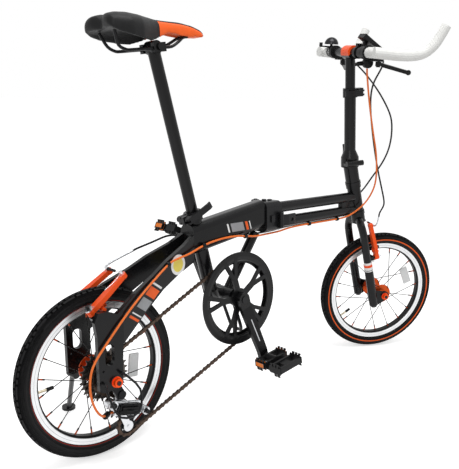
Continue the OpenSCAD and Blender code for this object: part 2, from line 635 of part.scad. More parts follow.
pedal_r = 4.5;
pedal_in = arm_y0 + arm_t + crank_flare + 5;
fold_at = [pedal_in + 43, -9];
pitch_right = -8;
pitch_left = 25;
module tread(y0, n) slab_x() polygon([each [[y0, -9], [y0, 9]],
    for (i = [0 : n - 1]) each [[y0 + i * 6 + 2, 13], [y0 + i * 6 + 5, 9]],
    for (i = [n - 1 : -1 : 0]) each [[y0 + i * 6 + 5, -9], [y0 + i * 6 + 2, -13]]]);
module slab_x() for (x = [-37, 34]) plate(x, x + 3) children();
module pedal_bars(y0, y1) for (y = [y0, y1 - 6]) translate([-35, y, -8]) cube([70, 6, 16]);
module reflector(y) for (x = [-40, 36.5]) translate([x, y, -6]) cube([3.5, 24, 12]);
module pedal_inner(lens) difference() {
    union() {
        tread(pedal_in, 6);
        pedal_bars(pedal_in, pedal_in + 36);
        y_rod(pedal_in, pedal_in + 36, 11);
        if (lens) reflector(pedal_in + 6);
        translate([0, fold_at.x, fold_at.y]) x_rod(-30, 30, 3);
        for (x = [-30, 20]) translate([x, 0, 0]) {
            translate([0, fold_at.x, fold_at.y]) x_rod(0, 10, 6);
            translate([0, pedal_in + 30, fold_at.y - 4]) cube([10, 13, 10]);
        }
    }
    y_rod(0, pedal_in + 34 + room, pedal_r + fit);
}
module pedal_outer(lens) {
    tread(pedal_in + 50, 6);
    pedal_bars(pedal_in + 50.5, pedal_in + 86);
    translate([-12, pedal_in + 54, -5]) cube([24, 28, 10]);
    if (lens) reflector(pedal_in + 56);
    difference() {
        union() {
            translate([0, fold_at.x, fold_at.y]) x_rod(-20 + room, 20 - room, 6);
            translate([-20 + room, fold_at.x, fold_at.y - 4]) cube([40 - 2 * room, 11, 9]);
        }
        translate([0, fold_at.x, fold_at.y]) x_rod(-40, 40, 3 + fit);
    }
}
module at_right_pedal() on_crank() translate([0, 0, -crank_len]) mirror([0, 1, 0])
    rotate([0, crank_turn + pitch_right, 0]) children();
module at_left_pedal() on_crank() translate([0, 0, crank_len])
    rotate([0, crank_turn + pitch_left, 0]) children();
module pedal_right_inner() color("#202022") at_right_pedal() pedal_inner(true);
module pedal_right_outer() color("#202022") at_right_pedal() pedal_outer(false);
module pedal_left_inner() color("#202022") at_left_pedal() pedal_inner(false);
module pedal_left_outer() color("#202022") at_left_pedal() pedal_outer(true);

// Wheels, each about its own axle along Y

module tyre() spin() {
    difference() {
        translate([wheel_r - tyre_r, 0]) circle(tyre_r);
        translate([wheel_r - tyre_r, 0]) circle(tyre_r - 3.5);
        translate([0, -50]) square([rim_r + 0.05, 100]);
    }
    for (s = [0, 1]) mirror([0, s]) polygon([[rim_r - 6, rim_w / 2 - 4.5], [rim_r - 6, rim_w / 2 - 2.1],
        [rim_r + 0.2, rim_w / 2 - 2.1], [rim_r + 2.5, rim_w / 2 + 2], [rim_r + 5, rim_w / 2 + 2.2],
        [rim_r + 3, rim_w / 2 - 3]]);
}
module rim() spin() polygon([[rim_r, rim_w / 2], [rim_r, rim_w / 2 - 2], [rim_r - 6.5, rim_w / 2 - 2],
    [rim_r - 8, 5], [rim_r - 8, -5], [rim_r - 6.5, 2 - rim_w / 2], [rim_r, 2 - rim_w / 2], [rim_r, -rim_w / 2],
    [rim_in + 5, -rim_w / 2], [rim_in, -7], [rim_in, 7], [rim_in + 5, rim_w / 2]]);
// Crossed spokes; those on one flange lie on its two faces by turns
module spokes(y_left, y_right, r_hub) {
    for (i = [0 : spoke_count - 1]) {
        lead = floor(i / 2) % 2 == 0 ? 1 : -1;
        outer = i % 2 == 0 ? lead > 0 : lead < 0;
        y_hub = (i % 2 == 0 ? y_left : y_right) + lead * ((outer ? 3.5 : 1.7) + spoke_d / 2);
        a = (i + 0.5) * 360 / spoke_count;
        b = a + lead * 720 / spoke_count;
        hub = [r_hub * cos(b), y_hub, r_hub * sin(b)];
        end = [(rim_in - 0.6) * cos(a), (i % 2 == 0 ? 2 : -2), (rim_in - 0.6) * sin(a)];
        rod(hub, end, spoke_d / 2, $fn = 32);
        rod(end + (hub - end) * 0.12, end, 1.9, $fn = 32);
    }
}
module valve(a) rotate([0, -a, 0]) {
    rotate([0, -90, 0]) translate([0, 0, -rim_in]) cylinder(r = 3, h = 20);
    rotate([0, -90, 0]) translate([0, 0, 20 - rim_in]) cylinder(r = 4, h = 16);
}
rear_left = 32;
rear_right = -18;
flange_r = 26;
module rear_tyre() color("#1b1b1c") on_rear_axle() tyre();
module rear_rim() color("#c9cbcd") on_rear_axle() rim();
module rear_spokes() color("#161617") on_rear_axle() {
    spokes(rear_left, rear_right, flange_r);
    valve(183);
}
module rear_hub() color("#e2622a") on_rear_axle() spin() polygon([[axle_d / 2 + fit, 45], [10, 45], [10, 40],
    [14, rear_left + 1.5], [flange_r + 4, rear_left + 1.5], [flange_r + 4, rear_left - 1.5], [17, rear_left - 1.5],
    [15, 6], [17, rear_right + 1.5], [flange_r + 4, rear_right + 1.5], [flange_r + 4, rear_right - 1.5],
    [hub_boss, rear_right - 1.5], [hub_boss, -60], [axle_d / 2 + fit, -60]]);
front_half = 34;
front_axle_r = 4.5;
module front_tyre() color("#1b1b1c") on_front_axle() tyre();
module front_rim() color("#c9cbcd") on_front_axle() rim();
module front_spokes() color("#161617") on_front_axle() {
    spokes(front_half, -front_half, flange_r);
    valve(200);
}
module front_hub() color("#e2622a") on_front_axle() spin() polygon([[front_axle_r + fit, 43], [9, 43], [9, 39],
    [12, front_half + 1.5], [flange_r + 4, front_half + 1.5], [flange_r + 4, front_half - 1.5], [15, front_half - 1.5],
    [12, 0], [15, 1.5 - front_half], [flange_r + 4, 1.5 - front_half], [flange_r + 4, -front_half - 1.5],
    [12, -front_half - 1.5], [9, -39], [9, -43], [front_axle_r + fit, -43]]);

// Fork, in the steered frame with Z along the steering axis

steer_r = 14.3;
front_width = 100;
leg_x = -14;
leg_y = 54;
front_pivot = 133 - fork_len;
// The sleeves go up the legs from below the axle, and the bent tubes end inside them
sleeve_low = 17;
sleeve_len = 140;
leg_end = sleeve_len - sleeve_low - 10 - fork_len;
module fork() color("#1c1c1e") steered() difference() {
    union() {
        translate([0, 0, -30]) cylinder(r = steer_r, h = head_len + 28 + 40);
        translate([0, 0, -26]) cylinder(r = 21, h = 26 - room);
        sides() {
            bent([[-3, 6, -17], [-6, 20, -17], [-11, 38, -25], [-13, 49, -43], [leg_x, leg_y, -72],
                [leg_x, leg_y, leg_end]], leg_d / 2 - 1.5, [1, 0, 0]);
            translate([leg_x, leg_y, -fork_len - sleeve_low]) cylinder(r = leg_d / 2, h = sleeve_len);
            translate([leg_x, leg_y, -fork_len - sleeve_low - 8]) cylinder(r1 = leg_d / 2 - 5, r2 = leg_d / 2, h = 8);
            slab(front_width / 2, front_width / 2 + 6) {
                translate([fork_rake, -fork_len]) circle(15);
                polygon([[leg_x, -fork_len - 26], [leg_x, -fork_len + 34], [fork_rake, -fork_len + 15],
                    [fork_rake, -fork_len - 15]]);
            }
            translate([leg_x, brake_y - 7, front_pivot - 9]) cube([24, leg_y - brake_y + 7, 18]);
            translate([0, brake_y, front_pivot]) x_rod(9, 38, 4);
        }
    }
    translate([0, 0, -40]) cylinder(r = steer_r - 2.5, h = 200);
    translate([fork_rake, 0, -fork_len]) y_rod(-100, 100, front_axle_r + fit);
}
module front_axle() color("#e2622a") on_front_axle() {
    y_rod(-69, 69, front_axle_r);
    sides() difference() {
        union() {
            y_rod(front_width / 2 + 6, front_width / 2 + 8.5, 11);
            y_rod(front_width / 2 + 8.5, front_width / 2 + 17, 8.5);
            y_rod(43 + room, front_width / 2, 8);
        }
        y_rod(0, 100, front_axle_r);
    }
}

// Linear-pull brakes: arm along Z, pivot along X, given for the left side

pad_r = rim_r - 7;
pad_len = 40;
module brake_arm(x0, h, pad_x, pad_z, pad_turn, pad_y) difference() {
    union() {
        translate([0, brake_y, 0]) x_rod(x0, x0 + 16, 9);
        plate(x0 + 2, x0 + 13) {
            polygon([[brake_y + 8, 0], [brake_y - 8, 0], [brake_y - 10, 30], [24, h - 6], [24, h + 4], [35, h + 4],
                [38, h - 10], [brake_y + 7, 34]]);
            translate([29.5, h]) circle(8);
        }
        translate([pad_x, 0, pad_z]) rotate([0, pad_turn, 0]) {
            translate([-pad_len / 2, pad_y, -4]) cube([pad_len, 8, 8]);
            y_rod(pad_y + 6, brake_y - 2, 5);
            y_rod(brake_y - 2, brake_y + 10, 4);
        }
        translate([min(pad_x, x0) - 1, brake_y - 9, pad_z - 6]) cube([abs(pad_x - x0) + 5, 9, 12]);
    }
    translate([0, brake_y, 0]) x_rod(x0 - 20, x0 + 40, 4 + fit);
}
module anchor(x0, h) translate([0, 29.5, h]) x_rod(x0 + 12, x0 + 20, 4.5);
module noodle(points) bent(points, 2.6, [1, 0, 0]);
module boot(x0, h, l) translate([x0 + 16, 0, h]) {
    y_rod(24 - l, 26, 3.2);
    translate([-5, 24, -4]) cube([7, 7, 8]);
}
arm_h = 100;
front_x0 = 16;
front_noodle = [front_x0 + 29, 51, arm_h + 30];
module on_front_brake() steered() translate([0, 0, front_pivot]) children();
module front_arm() brake_arm(front_x0, arm_h, fork_rake, pad_r - fork_len - front_pivot, 0, rim_w / 2 + 2.5);
module front_brake_left() color("#e8692c") on_front_brake() {
    front_arm();
    anchor(front_x0, arm_h);
}
module front_brake_right() color("#e8692c") on_front_brake() mirror([0, 1, 0]) {
    front_arm();
    boot(front_x0, arm_h, 28);
    noodle([[front_x0 + 16, 26, arm_h], [front_x0 + 16, 38, arm_h], [front_x0 + 19, 47, arm_h + 5],
        [front_x0 + 24, 51, arm_h + 16], front_noodle]);
}
rear_h = 108;
rear_x0 = 4;
rear_noodle = [rear_x0 - 5, 42, rear_h + 80];
rear_pad_z = 24;
// Wheel axle as seen from the rear brake pivot, along the boss and along the arm
rear_hub_x = brake_pivot.x * cos(brake_turn) - (brake_pivot.y - wheel_r) * sin(brake_turn);
rear_hub_z = -brake_pivot.x * sin(brake_turn) - (brake_pivot.y - wheel_r) * cos(brake_turn);
rear_pad_x = rear_hub_x + sqrt(pow(pad_r, 2) - pow(rear_pad_z - rear_hub_z, 2));
rear_pad_turn = -90 - atan2(rear_pad_z - rear_hub_z, rear_pad_x - rear_hub_x);
module rear_arm() brake_arm(rear_x0, rear_h, rear_pad_x, rear_pad_z, rear_pad_turn, rim_w / 2 + 3.6);
module rear_brake_right() color("#e8692c") leaned() on_rear_brake() mirror([0, 1, 0]) {
    rear_arm();
    anchor(rear_x0, rear_h);
}
module rear_brake_left() color("#e8692c") leaned() on_rear_brake() {
    rear_arm();
    boot(rear_x0, rear_h, 28);
    noodle([[rear_x0 + 16, 26, rear_h], [rear_x0 + 16, 36, rear_h], [rear_x0 + 15, 43, rear_h + 7],
        [rear_x0 + 11, 45, rear_h + 24], [rear_x0 + 3, 44, rear_h + 52], rear_noodle]);
}

// Handlepost, in the post frame with Z along the post and the fold plane at Z = 0

fold_y = -33;
plate_r = 26.5;
module post_base() color("#232325") {
    difference() {
        union() {
            steered() translate([0, 0, head_len + room]) {
                cylinder(r = 21.3, h = 80);
                cylinder(r = 23.5, h = 8);
            }
            on_post() {
                translate([0, 0, -15]) cylinder(r = plate_r, h = 15);
                for (s = [0, 1]) mirror([s, 0, 0]) {
                    translate([10, fold_y, -8]) cube([16, 22, 8]);
                    translate([6 + room, 22, -14]) cube([5, 17, 12]);
                }
            }
        }
        on_post() translate([-100, -100, -split]) cube([200, 200, 120]);
        on_post() translate([-10, fold_y - 30, -40]) cube([20, 38 + room, 80]);
        steered() translate([0, 0, 50]) cylinder(r = steer_r, h = steer_top - 50 + room);
    }
    on_post() {
        for (s = [0, 1]) mirror([s, 0, 0]) translate([0, fold_y, 0]) x_rod(10, 26, 8);
        translate([0, fold_y, 0]) x_rod(-26, 26, 4);
        translate([0, catch_y, -8]) x_rod(-11, 11, 3);
    }
}
steer_top = head_len + 38;
catch_y = 34;
module post_latch() color("#2b2b2e") on_post() translate([0, catch_y, -8]) difference() {
    union() {
        x_rod(-6, 6, 6);
        plate(-6, 6) polygon([[-5, 0], [-5, 34], [-2, 52], [3, 56], [5, 54], [2, 40], [6, 0]]);
    }
    x_rod(-20, 20, 3 + fit);
}
collar_w = 190;
post_skewer = [post_d / 2 + 11, 0, collar_w + 13];
module handlepost() color("#1c1c1e") on_post() difference() {
    union() {
        translate([0, 0, split]) cylinder(r = plate_r, h = 14);
        translate([0, 0, 14]) cylinder(r1 = plate_r, r2 = post_d / 2, h = 22);
        translate([0, 0, 20]) cylinder(r = post_d / 2, h = collar_w - 4);
        translate([0, fold_y, 0]) x_rod(room - 10, 10 - room, 8);
        translate([room - 10, fold_y, split]) cube([20 - 2 * room, 22, 8 - split]);
        translate([0, 0, collar_w]) cylinder(r = post_d / 2 + 4.5, h = 26);
        translate([post_d / 2, -11, collar_w + 1]) cube([20, 22, 24]);
        translate(post_skewer) y_rod(cam_y, 20, 3);
        translate(post_skewer) y_rod(11, 19, 8);
        translate(post_skewer + [0, cam_y, -8]) cylinder(r = 3, h = 16);
    }
    translate([0, 0, 30]) cylinder(r = upper_d / 2 + fit, h = 300);
    translate([post_d / 2 - 6, -1.5, collar_w - 5]) cube([60, 3, 9]);
    translate([post_d / 2 - 6, -1.5, collar_w + 22]) cube([60, 3, 9]);
    translate([0, fold_y, 0]) x_rod(-40, 40, 4 + fit);
}
module post_lever() color("#2b2b2e") on_post() translate(post_skewer + [0, cam_y, 0]) difference() {
    translate([0, 0, -8]) {
        cylinder(r = 7.5, h = 16);
        linear_extrude(16)
            polygon([[0, -7], [-26, -14], [-50, -17], [-57, -15], [-57, -11], [-50, -12], [-26, -9], [-4, 0]]);
    }
    translate([0, 0, -9]) cylinder(r = 3 + fit, h = 18);
    mirror([1, 0, 0]) cam_slot();
}
bar_r = 11.1;
clamp_r = bar_d / 2 + 6.5;
module cap_side(x) rotate([0, -30, 0]) translate([x, -60, -50]) cube([100, 120, 100]);
module upper_post() color("#1c1c1e") difference() {
    union() {
        on_post() difference() {
            translate([0, 0, 112]) cylinder(r = upper_d / 2, h = bar_w - 122);
            translate([0, 0, 111]) cylinder(r = upper_d / 2 - 2.5, h = bar_w - 140);
        }
        on_bar() y_rod(-24, 24, clamp_r);
    }
    on_bar() y_rod(-100, 100, bar_d / 2);
    on_bar() cap_side(-split);
}
module bar_cap() color("#ea5f26") on_bar() difference() {
    intersection() {
        y_rod(-24, 24, clamp_r);
        cap_side(split);
    }
    y_rod(-100, 100, bar_d / 2);
    rotate([0, -30, 0]) for (y = [-15, 15], z = [-1, 1]) translate([clamp_r * 0.7, y, z * 15.5]) x_rod(-2, 20, 3);
}
horn = [[-20, -1, 0], [10, 5, -2], [45, 12, -4], [82, 21, -3], [110, 28, 5], [131, 34, 25], [144, 39, 50],
    [155, 42, 74]];
horn_r = [14.5, 14.5, 14.4, 14, 13.6, 13.2, 12.8, 12.3];
module handlebar() color("#e6e6e2") on_bar() {
    y_rod(-60, 60, bar_d / 2);
    y_rod(-bar_half, bar_half, bar_r);
    sides() sweep([for (p = horn) p + [0, bar_half, 0]], horn_r, 3, 16, [0, 0, 1]);
}
lever_at = [32, 112, -28];
lever_turn = 58;
module bar_ring(y0, y1, r, inner) difference() {
    y_rod(y0, y1, r);
    y_rod(y0 - 1, y1 + 1, inner);
}
module perch() {
    bar_ring(96, 112, 19, bar_r);
    difference() {
        translate([8, 100, -22]) cube([32.4, 20, 17]);
        y_rod(90, 130, 15);
    }
    translate([lever_at.x, lever_at.y, -37]) {
        cylinder(r = 3.5, h = 18);
        cylinder(r = 6, h = 3 - room);
    }
}
pod = [12, -86, -27];
module bar_fittings() color("#1f1f21") on_bar() {
    sides() perch();
    bar_ring(-91, -80, 17, bar_r);
    translate(pod) difference() {
        y_rod(-8, 5, 14);
        translate(-pod) y_rod(-200, 0, 15);
    }
    translate(pod) y_rod(4, 10, 3);
    bar_ring(-56, -44, 17, bar_d / 2);
    translate([-7, -56, 14]) cube([14, 12, 10]);
    bar_ring(-76, -66, 15, bar_r);
    translate([2, -76, 13]) cube([10, 10, 18]);
    translate([20, -75, 27]) rotate([0, 33, 0]) translate([-32, -18, -6]) cube([64, 36, 12]);
    bar_ring(126, 136, 15, bar_r);
    translate([-2, 131, 12]) cylinder(r = 4, h = 14);
    difference() {
        translate([-2, 131, 22]) sphere(21);
        translate([-2, 131, 22]) sphere(19);
        translate([-40, 90, -28]) cube([80, 80, 50]);
    }
    translate([-2, 131, 22]) cylinder(r = 5, h = 20);
    translate([-2, 131, 22]) cylinder(r = 8, h = 2);
    translate([-15, 127, 12]) cube([13, 8, 5]);
    translate([-38, 128, 13]) cube([24, 6, 4]);
    translate([-36, 131, 14]) cylinder(r = 5, h = 12);
}
module lever() translate(lever_at) difference() {
    union() {
        translate([0, 0, -6]) cylinder(r = 8, h = 12 - room);
        rotate([0, 0, lever_turn]) rotate([0, 11.5, 0]) {
            translate([0, 0, -5]) linear_extrude(9.5)
                polygon([[0, -7], [26, -8], [60, -5], [90, -5], [90, 5], [60, 5], [26, 6], [0, 7]]);
            translate([93, 0, 0]) sphere(7);
        }
    }
    translate([0, 0, -40]) cylinder(r = 3.5 + fit, h = 80);
    translate([-15, -15, 6 - room]) cube([30, 30, 20]);
    translate([-15, -15, -26]) cube([30, 30, 20]);
}
module brake_lever_right() color("#262628") on_bar() mirror([0, 1, 0]) lever();
module brake_lever_left() color("#262628") on_bar() lever();
module shift_lever() color("#262628") on_bar() translate(pod) difference() {
    union() {
        y_rod(5 + room, 10, 11);
        slab(5 + room, 9) polygon([[-4, 6], [-26, 2], [-34, -4], [-32, -10], [-24, -8], [-4, -8]]);
    }
    y_rod(0, 40, 3 + fit);
}

// Derailleur

knuckle_y = chain_y - 10;
cage_out = chain_y - 7.5;
cage_in = chain_y + 5.5;
jockey_pin = 3;
module derailleur_mount() color("#2a2a2c") leaned() {
    slab(-drop_in - 10, -drop_in - 2) difference() {
        polygon([[-12, wheel_r - 10], [10, wheel_r - 8], [24, wheel_r - 34], [16, wheel_r - 46], [4, wheel_r - 42]]);
        blade_outline();
        translate([0, wheel_r]) circle(12.2);
    }
    translate([hanger_at.x, 0, hanger_at.y - 4]) y_rod(-drop_in - 13, knuckle_y - 2, 9);
    hull() {
        translate([hanger_at.x, 0, hanger_at.y - 4]) y_rod(knuckle_y - 9, knuckle_y - 2, 8, $fn = 32);
        translate([guide_at.x, 0, guide_at.y]) y_rod(knuckle_y - 9, knuckle_y, 10, $fn = 32);
    }
    translate([guide_at.x, 0, guide_at.y]) y_rod(knuckle_y - 12, cage_in + 2, jockey_pin);
    bent([[-30, -drop_in - blade_t - room / 2, wheel_r + 4], [-30, -drop_in - blade_t - 8, wheel_r + 4],
        [-32, -100, wheel_r - 18], [-10, -106, wheel_r - 68], [36, -106, wheel_r - 70], [46, -98, wheel_r - 24],
        [13, -drop_in - blade_t - 12, wheel_r + 18], [11, -drop_in - blade_t - 5, wheel_r + 19],
        [11, -drop_in - blade_t - room / 2, wheel_r + 19]], 2.5, [1, 0, 0]);
}
module cage_plate() {
    circle(12);
    translate([0, -cage_len]) circle(12);
    polygon([[-9, 0], [-7, -cage_len / 2], [-9, -cage_len], [9, -cage_len], [7, -cage_len / 2], [9, 0]]);
}
module derailleur_cage() color("#b4b6b8") leaned() translate([guide_at.x, 0, guide_at.y]) rotate([0, -cage_angle, 0]) {
    difference() {
        union() {
            slab(cage_out, cage_out + 2) cage_plate();
            slab(cage_in, cage_in + 2) cage_plate();
        }
        y_rod(-100, 0, jockey_pin + fit);
    }
    translate([0, 0, -cage_len]) y_rod(cage_out - 2, cage_in + 3, jockey_pin);
}
module pulley(j) translate([drive[j][0].x, chain_y, drive[j][0].y]) difference() {
    union() {
        slab(-0.95, 0.95) polygon(tooth_ring(jockey_teeth, gap_angle(j)));
        y_rod(-4.5, 4.5, 9);
    }
    y_rod(-20, 20, jockey_pin + fit);
    for (i = [0 : 4]) rotate([0, 72 * i, 0]) translate([13, 0, 0]) y_rod(-5, 5, 2.4);
}
module guide_pulley() color("#242426") leaned() pulley(3);
module tension_pulley() color("#242426") leaned() pulley(2);

// Cables, along the route they are held to

function rear_brake_point(p) = [brake_pivot.x + p.z * sin(brake_turn) - p.x * cos(brake_turn), p.y,
    brake_pivot.y + p.z * cos(brake_turn) + p.x * sin(brake_turn)];
cable_r = 2.5;
shift_route = [bar_point(pod + [0, -2, -14 - 2 * room]), bar_point(pod + [1, -2, -24]), fork_point([50, -84, 405]),
    fork_point([56, -64, 331]), fork_point([64, -48, 239]), fork_point([67, -44, 187]), fork_point([62, -42, 131]),
    fork_point([50, -40, 84]), [915, -40, 496], [884, -31, 470], [850, -16, 450], [809, -10, 446], [723, -10, 446],
    [647, -10, 446], [598, -10, 444], [562, -12, 440], [525, -13, 439], [494, -15, 439], [460, -25, 441],
    [420, -31, 447], [380, -31, 452], [330, -31, 450], [282, -33, 443], [236, -38, 430], [190, -47, 425], [163, -52, 418],
    [107, -64, 386], [62, -74, 358], [19, -83, 326], [-24, -83, 281], [-56, -85, 246], [-67, -87, 212], [-66, -88, 177],
    [-55, -87, 146], [-37, -80, 126], [-14, -64, 119], [guide_at.x - 11, knuckle_y - 5, guide_at.y]];
rear_route = [bar_point([41.2, 110, -13]), bar_point([60, 109, -16]), fork_point([117, 72, 412]),
    fork_point([131, 24, 352]), fork_point([144, 0, 295]), fork_point([147, -10, 250]), fork_point([132, -10, 186]),
    fork_point([102, -5, 137]), fork_point([66, 10, 95]), fork_point([40, 32, 55]), [902, 34, 470], [872, 28, 452],
    [840, 15, 446], [800, 10, 446], [723, 10, 446], [647, 10, 446], [598, 10, 444], [562, 12, 440], [525, 13, 439],
    [494, 15, 439], [460, 25, 441], [420, 31, 447], [380, 31, 452], [330, 31, 452], [285, 32, 455], [256, 38, 462],
    [225, 40, 464], [190, 42, 455], rear_brake_point(rear_noodle + [-3.8, -0.9, 13.4]),
    rear_brake_point(rear_noodle + [-0.14, 0, 1.8 * room])];
front_route = [bar_point([41.2, -110, -13]), bar_point([58, -108, -16]), fork_point([104, -62, 420]),
    fork_point([95, -24, 380]), fork_point([88, -6, 325]), fork_point([80, -10, 234]), fork_point([79, -14, 136]),
    fork_point([83, -18, 57]), fork_point([79, -30, 22]), fork_point([64, -45, 12]),
    fork_point([front_noodle.x + 4.2, -front_noodle.y, front_noodle.z + front_pivot + 11.8]),
    fork_point([front_noodle.x + 0.2, -front_noodle.y, front_noodle.z + front_pivot + 1.8 * room])];
module shift_cable() color("#e8772f") leaned() cable(shift_route, cable_r, 2, [0, 1, 0]);
module rear_brake_cable() color("#161617") {
    leaned() cable(rear_route, cable_r, 2, [0, 1, 0]);
    leaned() on_rear_brake() translate([rear_x0 + 16, 0, rear_h]) y_rod(-25 + room, -4 - room, 0.8, $fn = 32);
}
module front_brake_cable() color("#161617") {
    leaned() cable(front_route, cable_r, 3, [0, 1, 0]);
    on_front_brake() translate([front_x0 + 16, 0, arm_h]) y_rod(4 + room, 25 - room, 0.8, $fn = 32);
}

seat_tube();
main_tube();
strut();
bb_shell();
blade_right();
blade_left();
hinge_rear();
seat_clamp();
rear_axle();
derailleur_mount();
chain();
rear_brake_cable();
shift_cable();
seatpost();
saddle_rails();
saddle();
seat_lever();
kickstand();
chainring();
crank_right();
crank_left();
pedal_right_inner();
pedal_right_outer();
pedal_left_inner();
pedal_left_outer();
rear_tyre();
rear_rim();
rear_spokes();
rear_hub();
freewheel();
front_tyre();
front_rim();
front_spokes();
front_hub();
upper_tube();
lower_tube();
head_tube();
hinge_front();
hinge_latch();
fork();
front_axle();
post_base();
front_brake_cable();
front_brake_right();
front_brake_left();
rear_brake_right();
rear_brake_left();
handlepost();
post_latch();
post_lever();
upper_post();
bar_cap();
handlebar();
bar_fittings();
brake_lever_right();
brake_lever_left();
shift_lever();
derailleur_cage();
guide_pulley();
tension_pulley();
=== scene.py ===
# %% [markdown]
# # Dressing a folding bicycle
# The metal of this bicycle is already there as exact solids. Here it gets its finish: paint, anodising,
# rubber, tape. Pieces that a solid can only hint at, such as the tyre tread, the padded saddle and the
# bending cables, are modelled. The box of the solids is kept first, so that we can see at the end that
# nothing has grown.

# %% Load the solids
import math
import bpy
from mathutils import Matrix, Vector


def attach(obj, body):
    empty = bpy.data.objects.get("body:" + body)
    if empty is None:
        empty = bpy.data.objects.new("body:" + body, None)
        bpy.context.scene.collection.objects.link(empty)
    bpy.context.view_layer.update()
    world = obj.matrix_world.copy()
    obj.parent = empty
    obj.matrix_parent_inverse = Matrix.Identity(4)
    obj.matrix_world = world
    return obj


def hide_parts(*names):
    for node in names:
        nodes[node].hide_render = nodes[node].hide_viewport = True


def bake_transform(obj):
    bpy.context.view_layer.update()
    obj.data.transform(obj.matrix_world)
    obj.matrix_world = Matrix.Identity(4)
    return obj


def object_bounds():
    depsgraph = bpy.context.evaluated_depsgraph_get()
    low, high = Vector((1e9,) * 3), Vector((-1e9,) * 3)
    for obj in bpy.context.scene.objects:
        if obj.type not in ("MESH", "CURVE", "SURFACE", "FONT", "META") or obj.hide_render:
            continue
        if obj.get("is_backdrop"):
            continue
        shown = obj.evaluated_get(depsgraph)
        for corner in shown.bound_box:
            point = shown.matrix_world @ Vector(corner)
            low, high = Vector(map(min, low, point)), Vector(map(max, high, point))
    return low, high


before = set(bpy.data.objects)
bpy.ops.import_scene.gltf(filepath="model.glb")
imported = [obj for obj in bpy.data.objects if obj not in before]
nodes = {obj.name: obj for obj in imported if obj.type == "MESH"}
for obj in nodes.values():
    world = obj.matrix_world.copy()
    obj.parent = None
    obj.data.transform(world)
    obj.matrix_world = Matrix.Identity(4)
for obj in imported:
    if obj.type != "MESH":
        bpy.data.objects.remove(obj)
cad_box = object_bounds()

# %% [markdown]
# A bicycle is easiest to think about in the frames its makers use: the steering axis, the bar, the crank,
# a wheel axle. Each frame is a matrix in metres. Lengths are written in millimetres, as on a drawing, and
# angles in degrees.

# %% Frames of the bicycle
def move(x, y, z):
    return Matrix.Translation((x / 1000, y / 1000, z / 1000))

def turn(axis, degrees):
    return Matrix.Rotation(math.radians(degrees), 4, axis)

def on(place, *points):
    return [place @ Vector((x / 1000, y / 1000, z / 1000)) for x, y, z in points]

wheelbase, axle_height = 1014, 192.5
head_angle, steered, leaned = 75.25, 26.7, 4
rake, fork_drop, front_brake_drop = 25.7, 273, 140
post_joint, post_tilt, bar_height, bar_tilt = 167.5, 9.1, 316, 5.65
crank_x, crank_z, crank_turn, crank_length = 377, 297, 16.7, 160
right_pedal_turn, left_pedal_turn = 8.7, 41.7
saddle_x, saddle_z = 165, 897
rear_brake_x, rear_brake_z, rear_brake_tilt = -26, 336, 55.7

flip_x, flip_y = Matrix.Scale(-1, 4, (1, 0, 0)), Matrix.Scale(-1, 4, (0, 1, 0))
sin_head, cos_head = math.sin(math.radians(head_angle)), math.cos(math.radians(head_angle))
head_x = wheelbase - rake * sin_head - fork_drop * cos_head
head_z = axle_height - rake * cos_head + fork_drop * sin_head
lean = turn("X", -leaned)
fork = lean @ move(head_x, 0, head_z) @ turn("Y", head_angle - 90) @ turn("Z", -steered)
post = fork @ move(0, 0, post_joint) @ turn("Y", post_tilt)
bar = post @ move(0, 0, bar_height) @ turn("Y", bar_tilt)
crank = lean @ move(crank_x, 0, crank_z) @ turn("Y", -crank_turn)
saddle_place = lean @ move(saddle_x, 0, saddle_z)
rear_axle = lean @ move(0, 0, axle_height)
front_axle = fork @ move(rake, 0, -fork_drop)
front_brake = fork @ move(0, 0, -front_brake_drop)
rear_brake = lean @ move(rear_brake_x, 0, rear_brake_z) @ turn("Y", rear_brake_tilt) @ flip_x
right_pedal = crank @ move(0, 0, -crank_length) @ flip_y @ turn("Y", right_pedal_turn)
left_pedal = crank @ move(0, 0, crank_length) @ turn("Y", left_pedal_turn)
print("frames set, bar at", [round(v, 3) for v in bar.translation])

# %% [markdown]
# The camera stands behind the bicycle on the drive side, a little below the saddle, and looks along it.
# It is close, so the rear wheel shows larger than the front one.

# %% Camera
camera_place = (-646.366, -1189.913, 732.384)
camera_yaw, camera_pitch, camera_roll = 48.8635, -10.1007, -0.7704
lens_length, sensor_width = 49.32, 36

def look(*degrees):
    yaw, pitch, roll = (math.radians(v) for v in degrees)
    flat = Vector((math.cos(yaw), math.sin(yaw), 0))
    ahead = math.cos(pitch) * flat + Vector((0, 0, math.sin(pitch)))
    right = ahead.cross(Vector((0, 0, 1))).normalized()
    up = right.cross(ahead)
    across = math.cos(roll) * right + math.sin(roll) * up
    above = math.cos(roll) * up - math.sin(roll) * right
    return Matrix((across, above, -ahead)).transposed().to_4x4()

bpy.ops.object.camera_add()
camera = bpy.context.object
camera.matrix_world = lean @ move(*camera_place) @ look(camera_yaw, camera_pitch, camera_roll)
camera.data.lens, camera.data.sensor_width = lens_length, sensor_width
camera.data.sensor_fit = "HORIZONTAL"
bpy.context.scene.camera = camera
bpy.context.scene.view_settings.view_transform = "Standard"
print("camera at", [round(v, 3) for v in camera.location])

# %% [markdown]
# The stage is a pale floor under a white sky. A broad lamp overhead draws the long highlights on the tubes.
# The sky looks white to the eye and in reflections, but lights the bicycle gently, so that black stays black.

# %% Floor, sky and lamps
ground, floor_glow, sky_light = -0.0008, 0.52, 0.5

def add(tree, kind, inputs=(), **settings):
    made = tree.nodes.new("ShaderNode" + kind)
    for key, value in settings.items():
        setattr(made, key, value)
    for key, value in dict(inputs).items():
        if isinstance(value, bpy.types.NodeSocket):
            tree.links.new(value, made.inputs[key])
        else:
            made.inputs[key].default_value = value
    return made

def larger(tree, a, b):
    return add(tree, "Math", {0: a, 1: b}, operation="MAXIMUM").outputs[0]

